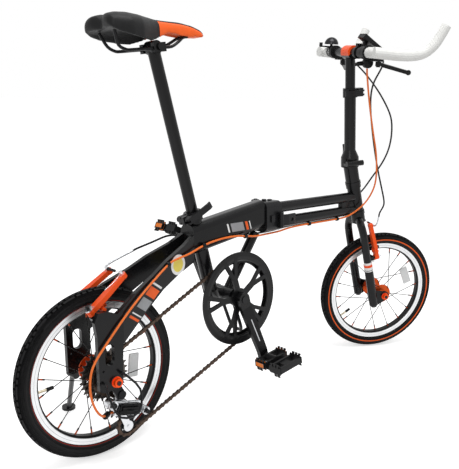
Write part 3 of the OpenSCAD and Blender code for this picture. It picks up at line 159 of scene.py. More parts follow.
def seen_by_eye(tree):
    ray = add(tree, "LightPath").outputs
    seen = larger(tree, ray["Is Camera Ray"], ray["Is Glossy Ray"])
    return larger(tree, seen, ray["Is Transmission Ray"])

bpy.ops.object.select_all(action="DESELECT")
bpy.ops.mesh.primitive_plane_add(size=60, location=(0.5, 0, ground))
floor = bpy.context.object
floor.name = "floor"
floor_paint = bpy.data.materials.new("floor_white")
floor_paint.use_nodes = True
tree, shader = floor_paint.node_tree, floor_paint.node_tree.nodes["Principled BSDF"]
grain = add(tree, "TexNoise", {"Vector": add(tree, "TexCoord").outputs["Object"], "Scale": 3.0})
tint = add(tree, "MapRange", {"Value": grain.outputs["Fac"], "To Min": 0.95, "To Max": 0.97})
glow = add(tree, "MapRange", {"Value": seen_by_eye(tree), "To Max": floor_glow})
tree.links.new(tint.outputs[0], shader.inputs["Base Color"])
tree.links.new(glow.outputs[0], shader.inputs["Emission Strength"])
shader.inputs["Emission Color"].default_value = (1, 1, 1, 1)
shader.inputs["Roughness"].default_value = 0.9
shader.inputs["Specular IOR Level"].default_value = 0.1
floor.data.materials.append(floor_paint)
floor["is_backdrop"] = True

world = bpy.data.worlds.new("white_sky")
bpy.context.scene.world = world
world.use_nodes = True
tree = world.node_tree
level = add(tree, "MapRange", {"Value": seen_by_eye(tree), "To Min": sky_light, "To Max": 1.0})
tree.nodes["Background"].inputs["Color"].default_value = (1, 1, 1, 1)
tree.links.new(level.outputs[0], tree.nodes["Background"].inputs["Strength"])

def lamp(name, place, aim, size, watts):
    bpy.ops.object.light_add(type="AREA", location=place)
    made = bpy.context.object
    made.name = name
    made.rotation_euler = (Vector(aim) - Vector(place)).to_track_quat("-Z", "Y").to_euler()
    made.data.size, made.data.energy = size, watts

lamp("top_softbox", place=(0.4, -0.4, 2.6), aim=(0.5, 0, 0.4), size=1.4, watts=34)
lamp("side_softbox", place=(-1.6, -1.6, 1.9), aim=(0.5, 0, 0.5), size=1.0, watts=14)

# %% [markdown]
# Zones paint parts of a piece another colour, measured in millimetres in the frame of that piece. That is how
# one casting can have a painted body, a bare bolt and a rubber pad. A mask is 1 inside its zone and 0 outside,
# so masks are multiplied to get the place where all of them hold.

# %% Masks
class Masks:
    """Zones of a piece, from its own X, Y and Z in millimetres."""
    def __init__(self, tree, place):
        self.tree = tree
        spot = add(tree, "TexCoord").outputs["Object"]
        self.x, self.y, self.z = (self.along(spot, row) for row in place.inverted()[:3])

    def along(self, spot, row):
        scaled = [1000 * v for v in row]
        dot = add(self.tree, "VectorMath", {0: spot, 1: scaled[:3]}, operation="DOT_PRODUCT")
        return self.math("ADD", dot.outputs["Value"], scaled[3])

    def math(self, operation, a, b=0.0):
        return add(self.tree, "Math", {0: a, 1: b}, operation=operation).outputs[0]

    def size(self, value):
        return self.math("ABSOLUTE", value)

    def above(self, value, edge, soft=0.4):
        span = {"Value": value, "From Min": edge - soft, "From Max": edge + soft}
        return add(self.tree, "MapRange", span).outputs[0]

    def below(self, value, edge, soft=0.4):
        return self.math("SUBTRACT", 1.0, self.above(value, edge, soft))

    def band(self, value, low, high, soft=0.4):
        return self.math("MULTIPLY", self.above(value, low, soft), self.below(value, high, soft))

    def every(self, *masks):
        found = masks[0]
        for mask in masks[1:]:
            found = self.math("MULTIPLY", found, mask)
        return found

    def mix(self, *shares):
        found = 0.0
        for share, value in shares:
            found = self.math("ADD", self.math("MULTIPLY", value, share), found)
        return found

    def radius(self, a, b):
        squares = self.math("ADD", self.math("MULTIPLY", a, a), self.math("MULTIPLY", b, b))
        return self.math("SQRT", squares)

print("masks ready")

# %% [markdown]
# One recipe makes every finish: a base colour with a slow mottle, a roughness that varies with it, and a fine
# bump. Each zone is a mask with its own colour, roughness and share of metal, laid over what is below it.

# %% The finish recipe
smoother, rougher, bump_depth = -0.06, 0.08, 0.0004

def finish(name, colour, rough, metal=0.0, mottle=0.12, scale=45, bump=0.06, grain=1400, gloss=0.18,
        place=lean, zones=()):
    paint = bpy.data.materials.new(name)
    paint.use_nodes = True
    tree, shader = paint.node_tree, paint.node_tree.nodes["Principled BSDF"]
    spot = add(tree, "TexCoord").outputs["Object"]
    slow = add(tree, "TexNoise", {"Vector": spot, "Scale": scale, "Detail": 4.0}).outputs["Fac"]
    fine = add(tree, "TexNoise", {"Vector": spot, "Scale": grain, "Detail": 2.0}).outputs["Fac"]
    shade = add(tree, "MapRange", {"Value": slow, "To Min": 1 - mottle, "To Max": 1 + mottle}).outputs[0]
    wear = add(tree, "MapRange", {"Value": slow, "To Min": smoother, "To Max": rougher}).outputs[0]
    tone, dull, shine = colour, rough, metal
    masks = Masks(tree, place) if zones else None
    for where, zone_colour, zone_rough, zone_metal in zones:
        mask = where(masks)
        below = tone if isinstance(tone, bpy.types.NodeSocket) else (*tone, 1.0)
        tone = add(tree, "Mix", {0: mask, 6: below, 7: (*zone_colour, 1.0)}, data_type="RGBA").outputs[2]
        dull = add(tree, "Mix", {0: mask, 2: dull, 3: zone_rough}).outputs[0]
        if any(zone[3] != metal for zone in zones):
            shine = add(tree, "Mix", {0: mask, 2: shine, 3: zone_metal}).outputs[0]
    tinted = add(tree, "VectorMath", {0: tone, "Scale": shade}, operation="SCALE").outputs[0]
    worn = add(tree, "Math", {0: dull, 1: wear}, operation="ADD").outputs[0]
    tree.links.new(tinted, shader.inputs["Base Color"])
    tree.links.new(worn, shader.inputs["Roughness"])
    if isinstance(shine, bpy.types.NodeSocket):
        tree.links.new(shine, shader.inputs["Metallic"])
    else:
        shader.inputs["Metallic"].default_value = shine
    shader.inputs["Specular IOR Level"].default_value = gloss
    rise = add(tree, "Bump", {"Height": fine, "Strength": bump, "Distance": bump_depth})
    tree.links.new(rise.outputs[0], shader.inputs["Normal"])
    return paint

def coat(made, paint):
    made.data.materials.clear()
    made.data.materials.append(paint)

def dress(paint, *names):
    for name in names:
        coat(nodes[name], paint)

black, ink, smoke = (0.0045, 0.0045, 0.005), (0.003, 0.003, 0.0035), (0.009, 0.009, 0.010)
nylon_black, jet, gunmetal = (0.006, 0.006, 0.0065), (0.007, 0.007, 0.0075), (0.03, 0.03, 0.032)
orange, flame, amber = (0.80, 0.115, 0.018), (0.85, 0.085, 0.012), (0.80, 0.20, 0.02)
dyed_orange, nipple_orange, yellow = (0.50, 0.070, 0.012), (0.45, 0.07, 0.015), (0.75, 0.62, 0.12)
silver, alloy, white, pale = (0.62, 0.63, 0.65), (0.72, 0.73, 0.74), (0.80, 0.80, 0.79), (0.74, 0.74, 0.72)
steel, grey, rust, brass = (0.28, 0.28, 0.29), (0.30, 0.31, 0.32), (0.075, 0.052, 0.040), (0.45, 0.40, 0.30)
print("recipe ready")

# %% [markdown]
# Aluminium tubes are painted satin black and lacquered. The main tube and the right blade carry plain slanted
# bars, and the blade a round disc. The bars are bands of a coordinate that runs along the tube,
# tilted a little.

# %% Frame paint
lacquer = {"rough": 0.22, "gloss": 0.2}
post_lacquer = {"rough": 0.20, "gloss": 0.22}
blade_run, blade_rise, slant = 0.79, 0.61, 0.30
blade_low, blade_high = 202, 232
tube_low, tube_middle, tube_high = 462, 470, 484
disc_x, disc_z = 200, 409

def bars(low, high):
    def where(m):
        across = m.mix((-blade_rise, m.x), (blade_run, m.z))
        along = m.mix((blade_run, m.x), (blade_rise, m.z), (slant, across))
        return m.every(m.band(along, low, high), m.band(across, blade_low, blade_high))
    return where

def slants(low, high):
    def where(m):
        along = m.mix((1.0, m.x), (slant, m.math("ADD", m.z, -tube_middle)))
        return m.every(m.band(along, low, high), m.band(m.z, tube_low, tube_high), m.below(m.y, 0))
    return where

def disc(size):
    return lambda m: m.below(m.radius(m.math("ADD", m.x, -disc_x), m.math("ADD", m.z, -disc_z)), size)

def trim(shape, *marks):
    return [(shape(low, high), colour, 0.35, 0.0) for low, high, colour in marks]

def clamp_top(m):
    return m.every(m.below(m.size(m.y), 24.5), m.above(m.mix((-0.64, m.x), (0.77, m.z)), 3))

frame_paint = finish("frame_paint", black, **lacquer)
dress(frame_paint, "seat_tube", "strut", "upper_tube", "lower_tube", "head_tube", "blade_left")
dress(finish("main_tube_paint", black, **lacquer, zones=trim(slants,
    (366, 371, white), (378, 420, steel), (427, 435, orange), (441, 444, white))), "main_tube")
dress(finish("blade_paint", black, **lacquer, zones=trim(bars,
    (330, 357, grey), (364, 388, orange), (394, 399, white), (300, 306, orange), (312, 315, white)) + [
    (disc(24), white, 0.4, 0.0), (disc(17), yellow, 0.4, 0.0)]), "blade_right")
dress(finish("hinge_paint", smoke, 0.30, gloss=0.2), "hinge_rear", "hinge_front", "bb_shell", "kickstand")
dress(finish("post_paint", black, **post_lacquer), "seatpost", "handlepost", "post_base")
dress(finish("clamp_paint", black, **post_lacquer, place=bar, zones=[(clamp_top, flame, 0.34, 0.0)]),
    "upper_post")
dress(finish("lever_black", smoke, 0.32),
    "hinge_latch", "seat_lever", "post_latch", "post_lever", "seat_clamp")
print("frame painted")

# %% [markdown]
# The fork carries a small ring of trim where its sleeve begins: white, orange, white, as tape is wound round
# a tube. The brake's pivot bolts are bare.

# %% Fork trim
def wound(low, high):
    return lambda m: m.every(m.band(m.z, low, high), m.below(m.y, 0))

def pivot_bolt(m):
    return m.every(m.above(m.x, 24), m.band(m.z, -150, -130))

dress(finish("fork_paint", black, **lacquer, place=fork, zones=[
    (wound(-172, -143), white, 0.4, 0.0), (wound(-158, -150), flame, 0.4, 0.0),
    (wound(-169, -167), ink, 0.4, 0.0), (pivot_bolt, silver, 0.3, 1.0)]), "fork")
print("fork trimmed")

# %% [markdown]
# Hubs, axle nuts and brakes are anodised orange: metal with a dyed skin, so the colour is metallic and a
# little rough. The axle ends inside the nuts stay dark steel.

# %% Orange metal
axle_radius = 5.2
boot_half, pad_back, washer_back, cap_front = 26, 23.2, 30.6, 13.2
pad_below, washer_above, head_below, noodle_above, pivot_top = 20, 9, 8, 9, 12

def wheel_radius(m):
    return m.radius(m.x, m.z)

def axle(nut, place):
    return finish("axle_orange", flame, 0.32, 0.5, place=place, zones=[
        (lambda m: m.below(wheel_radius(m), axle_radius), gunmetal, 0.4, 0.8),
        (lambda m: m.band(m.size(m.y), 0, nut), steel, 0.35, 1.0)])

def brake(place, plate, height, pad):
    def front(m):
        return m.above(m.x, plate + cap_front)

    def head(m):
        return m.every(front(m), m.above(m.z, height - head_below))

    return finish("brake_orange", flame, 0.36, 0.15, place=place, zones=[
        (lambda m: m.every(m.below(m.size(m.y), pad_back), m.below(m.z, height - pad_below)), ink, 0.6, 0.0),
        (lambda m: m.every(m.band(m.size(m.y), pad_back, washer_back), m.below(m.z, pad + washer_above)),
            silver, 0.3, 1.0),
        (lambda m: m.every(m.below(m.size(m.y), boot_half), head(m)), ink, 0.55, 0.0),
        (lambda m: m.every(m.above(m.size(m.y), boot_half), head(m)), silver, 0.25, 1.0),
        (lambda m: m.above(m.z, height + noodle_above), silver, 0.25, 1.0),
        (lambda m: m.every(front(m), m.below(m.z, pivot_top)), silver, 0.3, 1.0)])

dress(finish("hub_orange", dyed_orange, 0.34, 0.7), "rear_hub", "front_hub")
dress(axle(79, rear_axle), "rear_axle")
dress(axle(58, front_axle), "front_axle")
dress(finish("cap_orange", flame, 0.34), "bar_cap")
dress(brake(front_brake, plate=16, height=100, pad=28), "front_brake_right", "front_brake_left")
dress(brake(rear_brake, plate=4, height=108, pad=24), "rear_brake_right", "rear_brake_left")
print("orange metal dressed")

# %% [markdown]
# Rims are bright along the braking track and black in the well. Spokes are black, with orange nipples at the
# rim. Wheel zones use the radius, so they run true all the way round.

# %% Wheels
well_radius, track_low, track_high, nipple_radius = 147.2, 154, 154.7, 133
valve_half, valve_foot, valve_cap = 5, 50, 123

def rim(place):
    return finish("rim_alloy", alloy, 0.28, 0.75, place=place, zones=[
        (lambda m: m.below(wheel_radius(m), well_radius), ink, 0.4, 0.0),
        (lambda m: m.band(wheel_radius(m), track_low, track_high, 0.2), steel, 0.3, 1.0)])

def spokes(place, valve):
    def valve_line(m):
        return m.every(m.below(m.size(m.z), valve_half), m.below(m.size(m.y), valve_half))

    return finish("spoke_black", ink, 0.3, 0.5, place=place @ turn("Y", -valve), zones=[
        (lambda m: m.above(wheel_radius(m), nipple_radius), nipple_orange, 0.35, 0.4),
        (lambda m: m.every(m.above(m.x, valve_foot), valve_line(m)), brass, 0.3, 1.0),
        (lambda m: m.every(m.band(m.x, valve_foot, valve_cap), valve_line(m)), ink, 0.5, 0.0)])

for end, place, valve in (("rear", rear_axle, 183), ("front", front_axle, 200)):
    dress(rim(place), end + "_rim")
    dress(spokes(place, valve), end + "_spokes")
print("rims and spokes dressed")

# %% [markdown]
# The drive is black alloy with worn edges on the teeth, a chain dark with old oil, and dull steel sprockets.
# The cranks have a bright line along the arm and a bare axle end.

# %% Drive
def worn_teeth(m):
    return m.every(m.above(wheel_radius(m), 98), m.above(m.y, -48))

def ring_edge(m):
    return m.every(m.band(wheel_radius(m), 92, 101), m.below(m.y, -51.2))

def arm_paint(side):
    return finish("crank_black", black, 0.26, gloss=0.2, place=crank @ side, zones=[
        (lambda m: m.every(m.below(m.size(m.x), 1.3), m.band(m.z, -116, -56)), silver, 0.3, 0.9),
        (lambda m: m.every(m.below(wheel_radius(m), 8.6), m.above(m.y, 73.5)), smoke, 0.2, 0.0),
        (lambda m: m.above(m.y, 98.5), steel, 0.3, 1.0)])

def link_face(m):
    return m.every(m.below(m.y, -64), m.above(m.y, -90), m.below(m.z, 128), m.band(m.x, 2, 30))

def hanger_bolt(m):
    return m.every(m.below(m.y, -57), m.above(m.y, -66), m.band(m.z, 120, 150))

dress(finish("drive_black", black, 0.28, gloss=0.2, place=crank, zones=[
    (worn_teeth, (0.05, 0.05, 0.05), 0.35, 0.9), (ring_edge, smoke, 0.4, 0.0)]), "chainring")
dress(arm_paint(flip_y), "crank_right")
dress(arm_paint(turn("Y", 180)), "crank_left")
dress(finish("freewheel_steel", (0.085, 0.075, 0.068), 0.36, 0.9, mottle=0.3, scale=90), "freewheel")
dress(finish("derailleur_black", (0.008, 0.008, 0.009), 0.32, 0.2, zones=[
    (link_face, silver, 0.3, 1.0), (hanger_bolt, steel, 0.3, 1.0)]), "derailleur_mount")
dress(finish("cage_alloy", silver, 0.28, 1.0, mottle=0.08), "derailleur_cage")
dress(finish("pulley_plastic", ink, 0.45), "guide_pulley", "tension_pulley")
print("drive dressed")

# %% [markdown]
# ## Modelling by hand
# New pieces are made as by hand: pick some faces, then use a tool on them in edit mode. Four short functions
# take up what repeats. One of them puts a finished mesh in its frame, and turns its faces outwards again where
# that frame is a mirror image. Another copies a solid and merges its loose triangles.

# %% Tools
def pick(made, test):
    for face in made.data.polygons:
        face.select = test(face)

def edit(tool, **settings):
    bpy.ops.object.mode_set(mode="EDIT")
    tool(**settings)
    bpy.ops.object.mode_set(mode="OBJECT")

def put(made, place, crease):
    made.data.transform(place)
    if place.determinant() < 0:
        made.data.flip_normals()
    bpy.ops.object.shade_smooth_by_angle(angle=math.radians(crease))

def copied(name, solid, nearest):
    bpy.ops.object.select_all(action="DESELECT")
    made = bpy.data.objects.new(name, nodes[solid].data.copy())
    bpy.context.collection.objects.link(made)
    made.select_set(True)
    bpy.context.view_layer.objects.active = made
    edit(bpy.ops.mesh.select_all, action="SELECT")
    edit(bpy.ops.mesh.remove_doubles, threshold=nearest)
    return made

crease_rubber, crease_metal = 35, 40
by_edge, by_face = (False, True, False), (False, False, True)
bpy.context.tool_settings.mesh_select_mode = by_face
print("tools ready")

# %% [markdown]
# When the cage swings, the chain goes with its lower pulley. So the solid is copied three times, and each copy
# keeps one stretch: the long stretch on the frame, the few links round the guide pulley, and the lower run.

# %% Chain in three stretches
chain_steel = finish("chain_steel", rust, 0.38, 0.85, mottle=0.35, scale=160, bump=0.15)
cage_front, guide_low, guide_high, run_front, run_high = 48, 91, 138, 190, 130

def round_guide(x, z):
    return x < cage_front and guide_low < z < guide_high

def lower_run(x, z):
    return (x < cage_front and z <= guide_low) or (cage_front <= x < run_front and z < run_high)

def rest_of_chain(x, z):
    return not round_guide(x, z) and not lower_run(x, z)

def stretch(name, keep):
    made = copied(name, "chain", 0.00001)
    upright = lean.inverted()
    spots = [upright @ face.center * 1000 for face in made.data.polygons]
    pick(made, lambda face: not keep(spots[face.index].x, spots[face.index].z))
    edit(bpy.ops.mesh.delete, type="FACE")
    coat(made, chain_steel)
    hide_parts("chain")
    print(name, len(made.data.polygons), "faces")
    return made

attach(stretch("chain_on_frame", rest_of_chain), "rear_frame")
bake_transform(stretch("chain_round_guide", round_guide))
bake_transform(stretch("chain_lower_run", lower_run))

# %% [markdown]
# Pedals are moulded nylon with a grain, and carry orange reflectors on two of their halves.

# %% Pedals
moulded = {"rough": 0.5, "bump": 0.25, "grain": 900}

def pedal(place):
    return finish("pedal_plastic", nylon_black, **moulded, place=place, zones=[
        (lambda m: m.above(m.size(m.x), 36.7), amber, 0.2, 0.0)])

dress(pedal(right_pedal), "pedal_right_inner")
dress(pedal(left_pedal), "pedal_left_outer")
dress(finish("pedal_plain", nylon_black, **moulded), "pedal_right_outer", "pedal_left_inner")
print("pedals dressed")

# %% [markdown]
# The bar is wound with pale cork tape from the brake levers to the tips. Between the levers the bare bar is
# dark. The turns of the tape are a wave along the bar, used as a shallow bump.

# %% Bar, fittings and levers
bare_half, tape_pitch = 113, 9

def tape(place):
    paint = finish("bar_tape", pale, 0.75, bump=0.12, grain=700, place=place, zones=[
        (lambda m: m.below(m.size(m.y), bare_half), gunmetal, 0.25, 0.8)])
    tree, shader = paint.node_tree, paint.node_tree.nodes["Principled BSDF"]
    m = Masks(tree, place)
    run = m.mix((1.0, m.x), (0.6, m.size(m.y)), (0.9, m.z))
    turns = m.math("PINGPONG", run, tape_pitch)
    height = m.every(m.above(turns, 0.9, 0.9), m.above(m.size(m.y), bare_half + 1))
    weave = next(n for n in tree.nodes if n.type == "BUMP").outputs[0]
    ridge = add(tree, "Bump", {"Height": height, "Strength": 0.6, "Distance": 0.0006, "Normal": weave})
    tree.links.new(ridge.outputs[0], shader.inputs["Normal"])
    return paint

def bell_dome(m):
    return m.every(m.band(m.y, 108, 155), m.above(m.z, 21))

tape_paint = tape(bar)
dress(tape_paint, "handlebar")
dress(finish("fitting_plastic", nylon_black, 0.42, bump=0.15, place=bar, zones=[
    (bell_dome, gunmetal, 0.2, 0.9)]), "bar_fittings")
dress(finish("brake_lever_black", jet, 0.34),
    "brake_lever_right", "brake_lever_left", "shift_lever")
dress(finish("rail_steel", (0.010, 0.010, 0.011), 0.28, 0.3), "saddle_rails")
print("bar and fittings dressed")

# %% [markdown]
# ## Tyres
# A tyre is a torus with blocks standing on its crown. We start a little thin, pick the faces of every block,
# and lift them along their normals. The gaps left between them are the grooves that carry water away. A block
# is two faces wide and three long, and every second line of blocks is shifted along by two.

# %% Tyres with tread
tyre_centre, tyre_section, block_height = 0.1735, 0.0175, 0.0014
rings, around = 320, 48
tread_first, tread_last = -6, 5

def in_block(face):
    c = face.center
    lift = math.degrees(math.atan2(c.z, math.hypot(c.x, c.y) - tyre_centre))
    row = round(lift / (360 / around) - 0.5)
    column = int((math.degrees(math.atan2(c.y, c.x)) % 360) / (360 / rings))
    shift = 2 if (row // 3) % 2 else 0
    return tread_first <= row <= tread_last and row % 3 != 2 and (column + shift) % 4 < 3

def rubber(name, place, line, low, high):
    return finish(name, nylon_black, 0.62, bump=0.3, grain=800, place=place, zones=[
        (lambda m: m.band(wheel_radius(m), low, high, 0.3), line, 0.5, 0.0),
        (lambda m: m.band(wheel_radius(m), 179.4, 180.0, 0.2), (0.03, 0.03, 0.03), 0.6, 0.0)])

def tyre(end, place, line, low, high):
    bpy.ops.object.select_all(action="DESELECT")
    bpy.ops.mesh.primitive_torus_add(major_segments=rings, minor_segments=around,
        major_radius=tyre_centre, minor_radius=tyre_section)
    made = bpy.context.object
    made.name = end + "_tyre_tread"
    pick(made, in_block)
    edit(bpy.ops.mesh.extrude_region_shrink_fatten, TRANSFORM_OT_shrink_fatten={"value": block_height})
    put(made, place @ turn("X", 90), crease_rubber)
    coat(made, rubber(end + "_rubber", place, line, low, high))
    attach(made, end + "_wheel")
    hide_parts(end + "_tyre")
    print(made.name, len(made.data.polygons), "faces, size", [round(v, 3) for v in made.dimensions])

tyre("rear", rear_axle, line=(0.35, 0.03, 0.02), low=162.4, high=163.8)
tyre("front", front_axle, line=orange, low=171.6, high=175.4)

# %% [markdown]
# ## Saddle
# The saddle is foam on a stiff shell, under a stretched cover. Its solid is copied, remeshed to even small
# faces, and smoothed like foam. A groove is pressed in along the seams, and the orange panels lie between the
# seams. Under the nose the edge of the shell is lifted in an arch, where the thighs pass.

# %% Saddle
crown_z, nose_x, nose_length, nose_drop = 60, 70, 82, 17
seam_x, seam_low, seam_below, seam_width, seam_depth = 8, 8, 7, 1.6, 0.0011
arch_x, arch_width, arch_top, arch_reach, arch_lift = 46, 26, 46, 38, 9

def saddle_top(x):
    return crown_z - nose_drop * (max(x - nose_x, 0) / nose_length) ** 2

def groove(p):
    if p.z <= seam_low:
        return 0
    side = abs(p.z - (saddle_top(p.x) - seam_below)) if p.x > seam_x else math.inf
    return seam_depth * math.exp(-(min(side, abs(p.x - seam_x)) / seam_width) ** 2)

def arch(p):
    share = min(max((arch_top - p.z) / arch_reach, 0), 1)
    return arch_lift * math.exp(-((p.x - arch_x) / arch_width) ** 2) * share / 1000

pad = copied("saddle_pad", "saddle", 0.0001)
edit(bpy.ops.mesh.normals_make_consistent, inside=False)
for kind, settings in (("REMESH", {"mode": "VOXEL", "voxel_size": 0.0026}),
        ("SMOOTH", {"factor": 0.5, "iterations": 14}), ("SUBSURF", {"levels": 1})):
    modifier = pad.modifiers.new(kind.lower(), kind)
    for key, value in settings.items():
        setattr(modifier, key, value)
    bpy.ops.object.modifier_apply(modifier=modifier.name)

inside, upward = saddle_place.inverted(), saddle_place.to_3x3() @ Vector((0, 0, 1))
outward = [v.normal.copy() for v in pad.data.vertices]
for v, normal in zip(pad.data.vertices, outward):
    p = inside @ v.co * 1000
    v.co += upward * arch(p) - normal * groove(p)
bpy.ops.object.shade_smooth()
print("saddle", len(pad.data.polygons), "faces")

# %% [markdown]
# The cover is a fine-grained synthetic leather with a bump as small as pores. The piping is a dark line
# around each orange panel.

# %% Saddle cover
panel_back, panel_front, panel_edge, piping = 10, 147, 0.2, 2.4

def panel(grow):
    def where(m):
        ahead = m.math("MAXIMUM", m.math("ADD", m.x, -nose_x), 0.0)
        share = m.math("MULTIPLY", ahead, 1 / nose_length)
        drop = m.math("MULTIPLY", m.math("MULTIPLY", share, share), nose_drop)
        roof = m.math("SUBTRACT", crown_z - seam_below + grow, drop)
        under = m.below(m.math("SUBTRACT", m.z, roof), 0.0)
        return m.every(m.above(m.x, panel_back - grow), under, m.below(m.x, panel_front + grow))
    return where

coat(pad, finish("saddle_cover", jet, 0.46, bump=0.3, grain=1100, place=saddle_place, zones=[
    (panel(piping), ink, 0.5, 0.0), (panel(panel_edge), orange, 0.42, 0.0)]))
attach(pad, "seat")
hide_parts("saddle")
print("saddle covered")

# %% [markdown]
# ## Cables
# A control cable runs over several joints, so it is cut into lengths.
# The route is a smooth curve through chosen points. A few rounds of averaging loosen its tightest bends, as a
# stiff housing would.

# %% Curves and tubes
cable_diameter, curve_steps, loosening = 0.005, 6, 6

def smooth(points):
    last, line = len(points) - 1, []
    for i in range(last):
        a, b, c, d = points[max(i - 1, 0)], points[i], points[i + 1], points[min(i + 2, last)]
        for k in range(curve_steps):
            t = k / curve_steps
            at = 2 * b + (c - a) * t
            at = at + (2 * a - 5 * b + 4 * c - d) * t ** 2
            at = at + (3 * b - a - 3 * c + d) * t ** 3
            line.append(0.5 * at)
    return line + [points[last]]

def relax(line):
    for _ in range(loosening):
        inner = [(a + 2 * b + c) / 4 for a, b, c in zip(line, line[1:], line[2:])]
        line = [line[0], *inner, line[-1]]
    return line

def run_length(line):
    return sum((b - a).length for a, b in zip(line, line[1:]))

def tube(name, line, radius, paint):
    bpy.ops.object.select_all(action="DESELECT")
    curve = bpy.data.curves.new(name, "CURVE")
    curve.dimensions, curve.bevel_depth, curve.bevel_resolution = "3D", radius, 3
    curve.use_fill_caps = True
    spline = curve.splines.new("POLY")
    spline.points.add(len(line) - 1)
    for point, at in zip(spline.points, line):
        point.co = (*at, 1)
    made = bpy.data.objects.new(name, curve)
    bpy.context.collection.objects.link(made)
    made.select_set(True)
    bpy.context.view_layer.objects.active = made
    bpy.ops.object.convert(target="MESH")
    bpy.ops.object.shade_smooth()
    coat(bpy.context.object, paint)
    return bpy.context.object

def cable(name, solid, points, cuts, paint):
    line = relax(smooth(points))
    for number, (first, last, a, b, start, end) in enumerate(cuts):
        run = line[first * curve_steps:last * curve_steps + 1]
        part = tube(f"{name}_{number + 1}", run, cable_diameter / 2, paint)
        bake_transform(part)
        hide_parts(solid)
    print(name, "in", len(cuts), "lengths,", round(run_length(line), 3), "m")

print("cables are", cable_diameter * 1000, "mm thick")

# %% [markdown]
# The points are given on the bar, on the fork and on the frame, in millimetres. A cut names its first and last
# point, its two bodies, and the points between which it turns from the one to the other.

# %% Cable routes
housing = finish("cable_black", (0.005, 0.005, 0.006), 0.38, bump=0.1)
bright = finish("cable_orange", (0.80, 0.17, 0.03), 0.36, bump=0.1)
shift = on(bar, (12, -88, -41.6), (13, -88, -51))
shift += on(fork, (50, -84, 405), (56, -64, 331), (64, -48, 239), (67, -44, 187), (62, -42, 131), (50, -40, 84))
shift += on(lean, (915, -40, 496), (884, -31, 470), (850, -16, 450), (809, -10, 446), (723, -10, 446),
    (647, -10, 446), (598, -10, 444), (562, -12, 440), (525, -13, 439), (494, -15, 439), (460, -25, 441),
    (420, -31, 447), (380, -31, 452), (330, -31, 450), (282, -33, 443), (236, -38, 430), (190, -47, 425),
    (163, -52, 418), (107, -64, 386), (62, -74, 358), (19, -83, 326), (-24, -83, 281), (-56, -85, 246),
    (-67, -87, 212), (-66, -88, 177), (-55, -87, 146), (-37, -80, 126), (-14, -64, 119), (5, -61, 119))
cable("shift_cable_run", "shift_cable", shift, [
    (0, 4, "bar", "post", 1, 4), (4, 7, "post", "fork", 4, 7), (7, 11, "fork", "front_frame", 7, 11),
    (11, 36, "front_frame", "rear_frame", 14, 18)], bright)

rear = on(bar, (41.2, 110, -13), (55, 103, -21))
rear += on(fork, (119, 76, 408), (131, 24, 352), (144, 0, 295), (147, -10, 250), (132, -10, 186),
    (102, -5, 137), (66, 10, 95), (40, 32, 55))
rear += on(lean, (902, 34, 470), (872, 28, 452), (840, 15, 446), (800, 10, 446), (723, 10, 446),
    (647, 10, 446), (598, 10, 444), (562, 12, 440), (525, 13, 439), (494, 15, 439), (460, 25, 441),
    (420, 31, 447), (380, 31, 452), (330, 31, 452), (285, 32, 455), (256, 38, 462), (225, 40, 464),
    (190, 42, 455))
rear += on(rear_brake, (-4.8, 41.1, 201.4), (-1.14, 42, 188.5))
cable("rear_brake_cable_run", "rear_brake_cable", rear, [
    (0, 5, "bar", "post", 1, 4), (5, 8, "post", "fork", 5, 8), (8, 13, "fork", "front_frame", 8, 13),
    (13, 29, "front_frame", "rear_frame", 16, 20)], housing)

front = on(bar, (41.2, -110, -13), (54, -99, -21))
front += on(fork, (104, -64, 420), (95, -24, 380), (88, -6, 325), (80, -10, 234), (79, -14, 136),
    (83, -18, 57), (79, -30, 22), (64, -45, 12), (49.2, -51, 1.8), (45.2, -51, -9.5))
cable("front_brake_cable_run", "front_brake_cable", front, [
    (0, 4, "bar", "post", 1, 4), (4, 11, "post", "fork", 4, 6)], housing)

# %% [markdown]
# Inside the rubber boots a bare wire pulls the two brake arms together. Past its clamp bolt a short tail hangs
# free.

# %% Brake wires
wire = finish("wire_steel", silver, 0.25, 1.0, mottle=0.2, scale=800)
wire_radius = 0.0008

def bare(name, place, points, body, solid):
    made = tube(name, smooth(on(place, *points)), wire_radius, wire)
    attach(made, body)
    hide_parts(solid)

bare("front_brake_wire", front_brake, [(32, 24, 100), (32, 14, 100), (32, 5, 100)],
    "front_arm_left", "front_brake_cable")
bare("rear_brake_wire", rear_brake, [(20, -24, 108), (20, -14, 108), (20, -5, 108)],
    "rear_arm_right", "rear_brake_cable")
bare("rear_brake_tail", rear_brake, [(20, -30, 103), (21, -36, 92), (22, -40, 74), (25, -42, 52)],
    "rear_arm_right", "rear_brake_cable")
print("brake wires made")

# %% [markdown]
# ## Small parts
# Wheel reflectors clip to the spokes. Each is a clear lens in a shallow frame, cut from a block with an inset.

# %% Spoke reflectors
lens = finish("lens_clear", (0.72, 0.73, 0.73), 0.25, bump=0.5, grain=350)
lens_size, lens_edge, lens_frame, lens_sink = (0.026, 0.005, 0.056), 0.0015, 0.003, 0.0012

def reflector(name, place, body):
    bpy.ops.object.select_all(action="DESELECT")
    bpy.ops.mesh.primitive_cube_add(size=1)
    made = bpy.context.object
    made.name = name
    made.scale = lens_size
    bpy.ops.object.transform_apply(location=False, rotation=False, scale=True)
    edit(bpy.ops.mesh.select_all, action="SELECT")
    edit(bpy.ops.mesh.bevel, offset=lens_edge, segments=2)
    pick(made, lambda face: abs(face.normal.y) > 0.99)
    edit(bpy.ops.mesh.inset, thickness=lens_frame, depth=-lens_sink)
    made.data.transform(place)
    coat(made, lens)
    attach(made, body)
    print(name, len(made.data.polygons), "faces")

reflector("rear_spoke_reflector", rear_axle @ turn("Y", 6) @ move(92, 0, 0), "rear_wheel")
reflector("front_spoke_reflector", front_axle @ turn("Y", -9.5) @ move(109, 0, 0), "front_wheel")

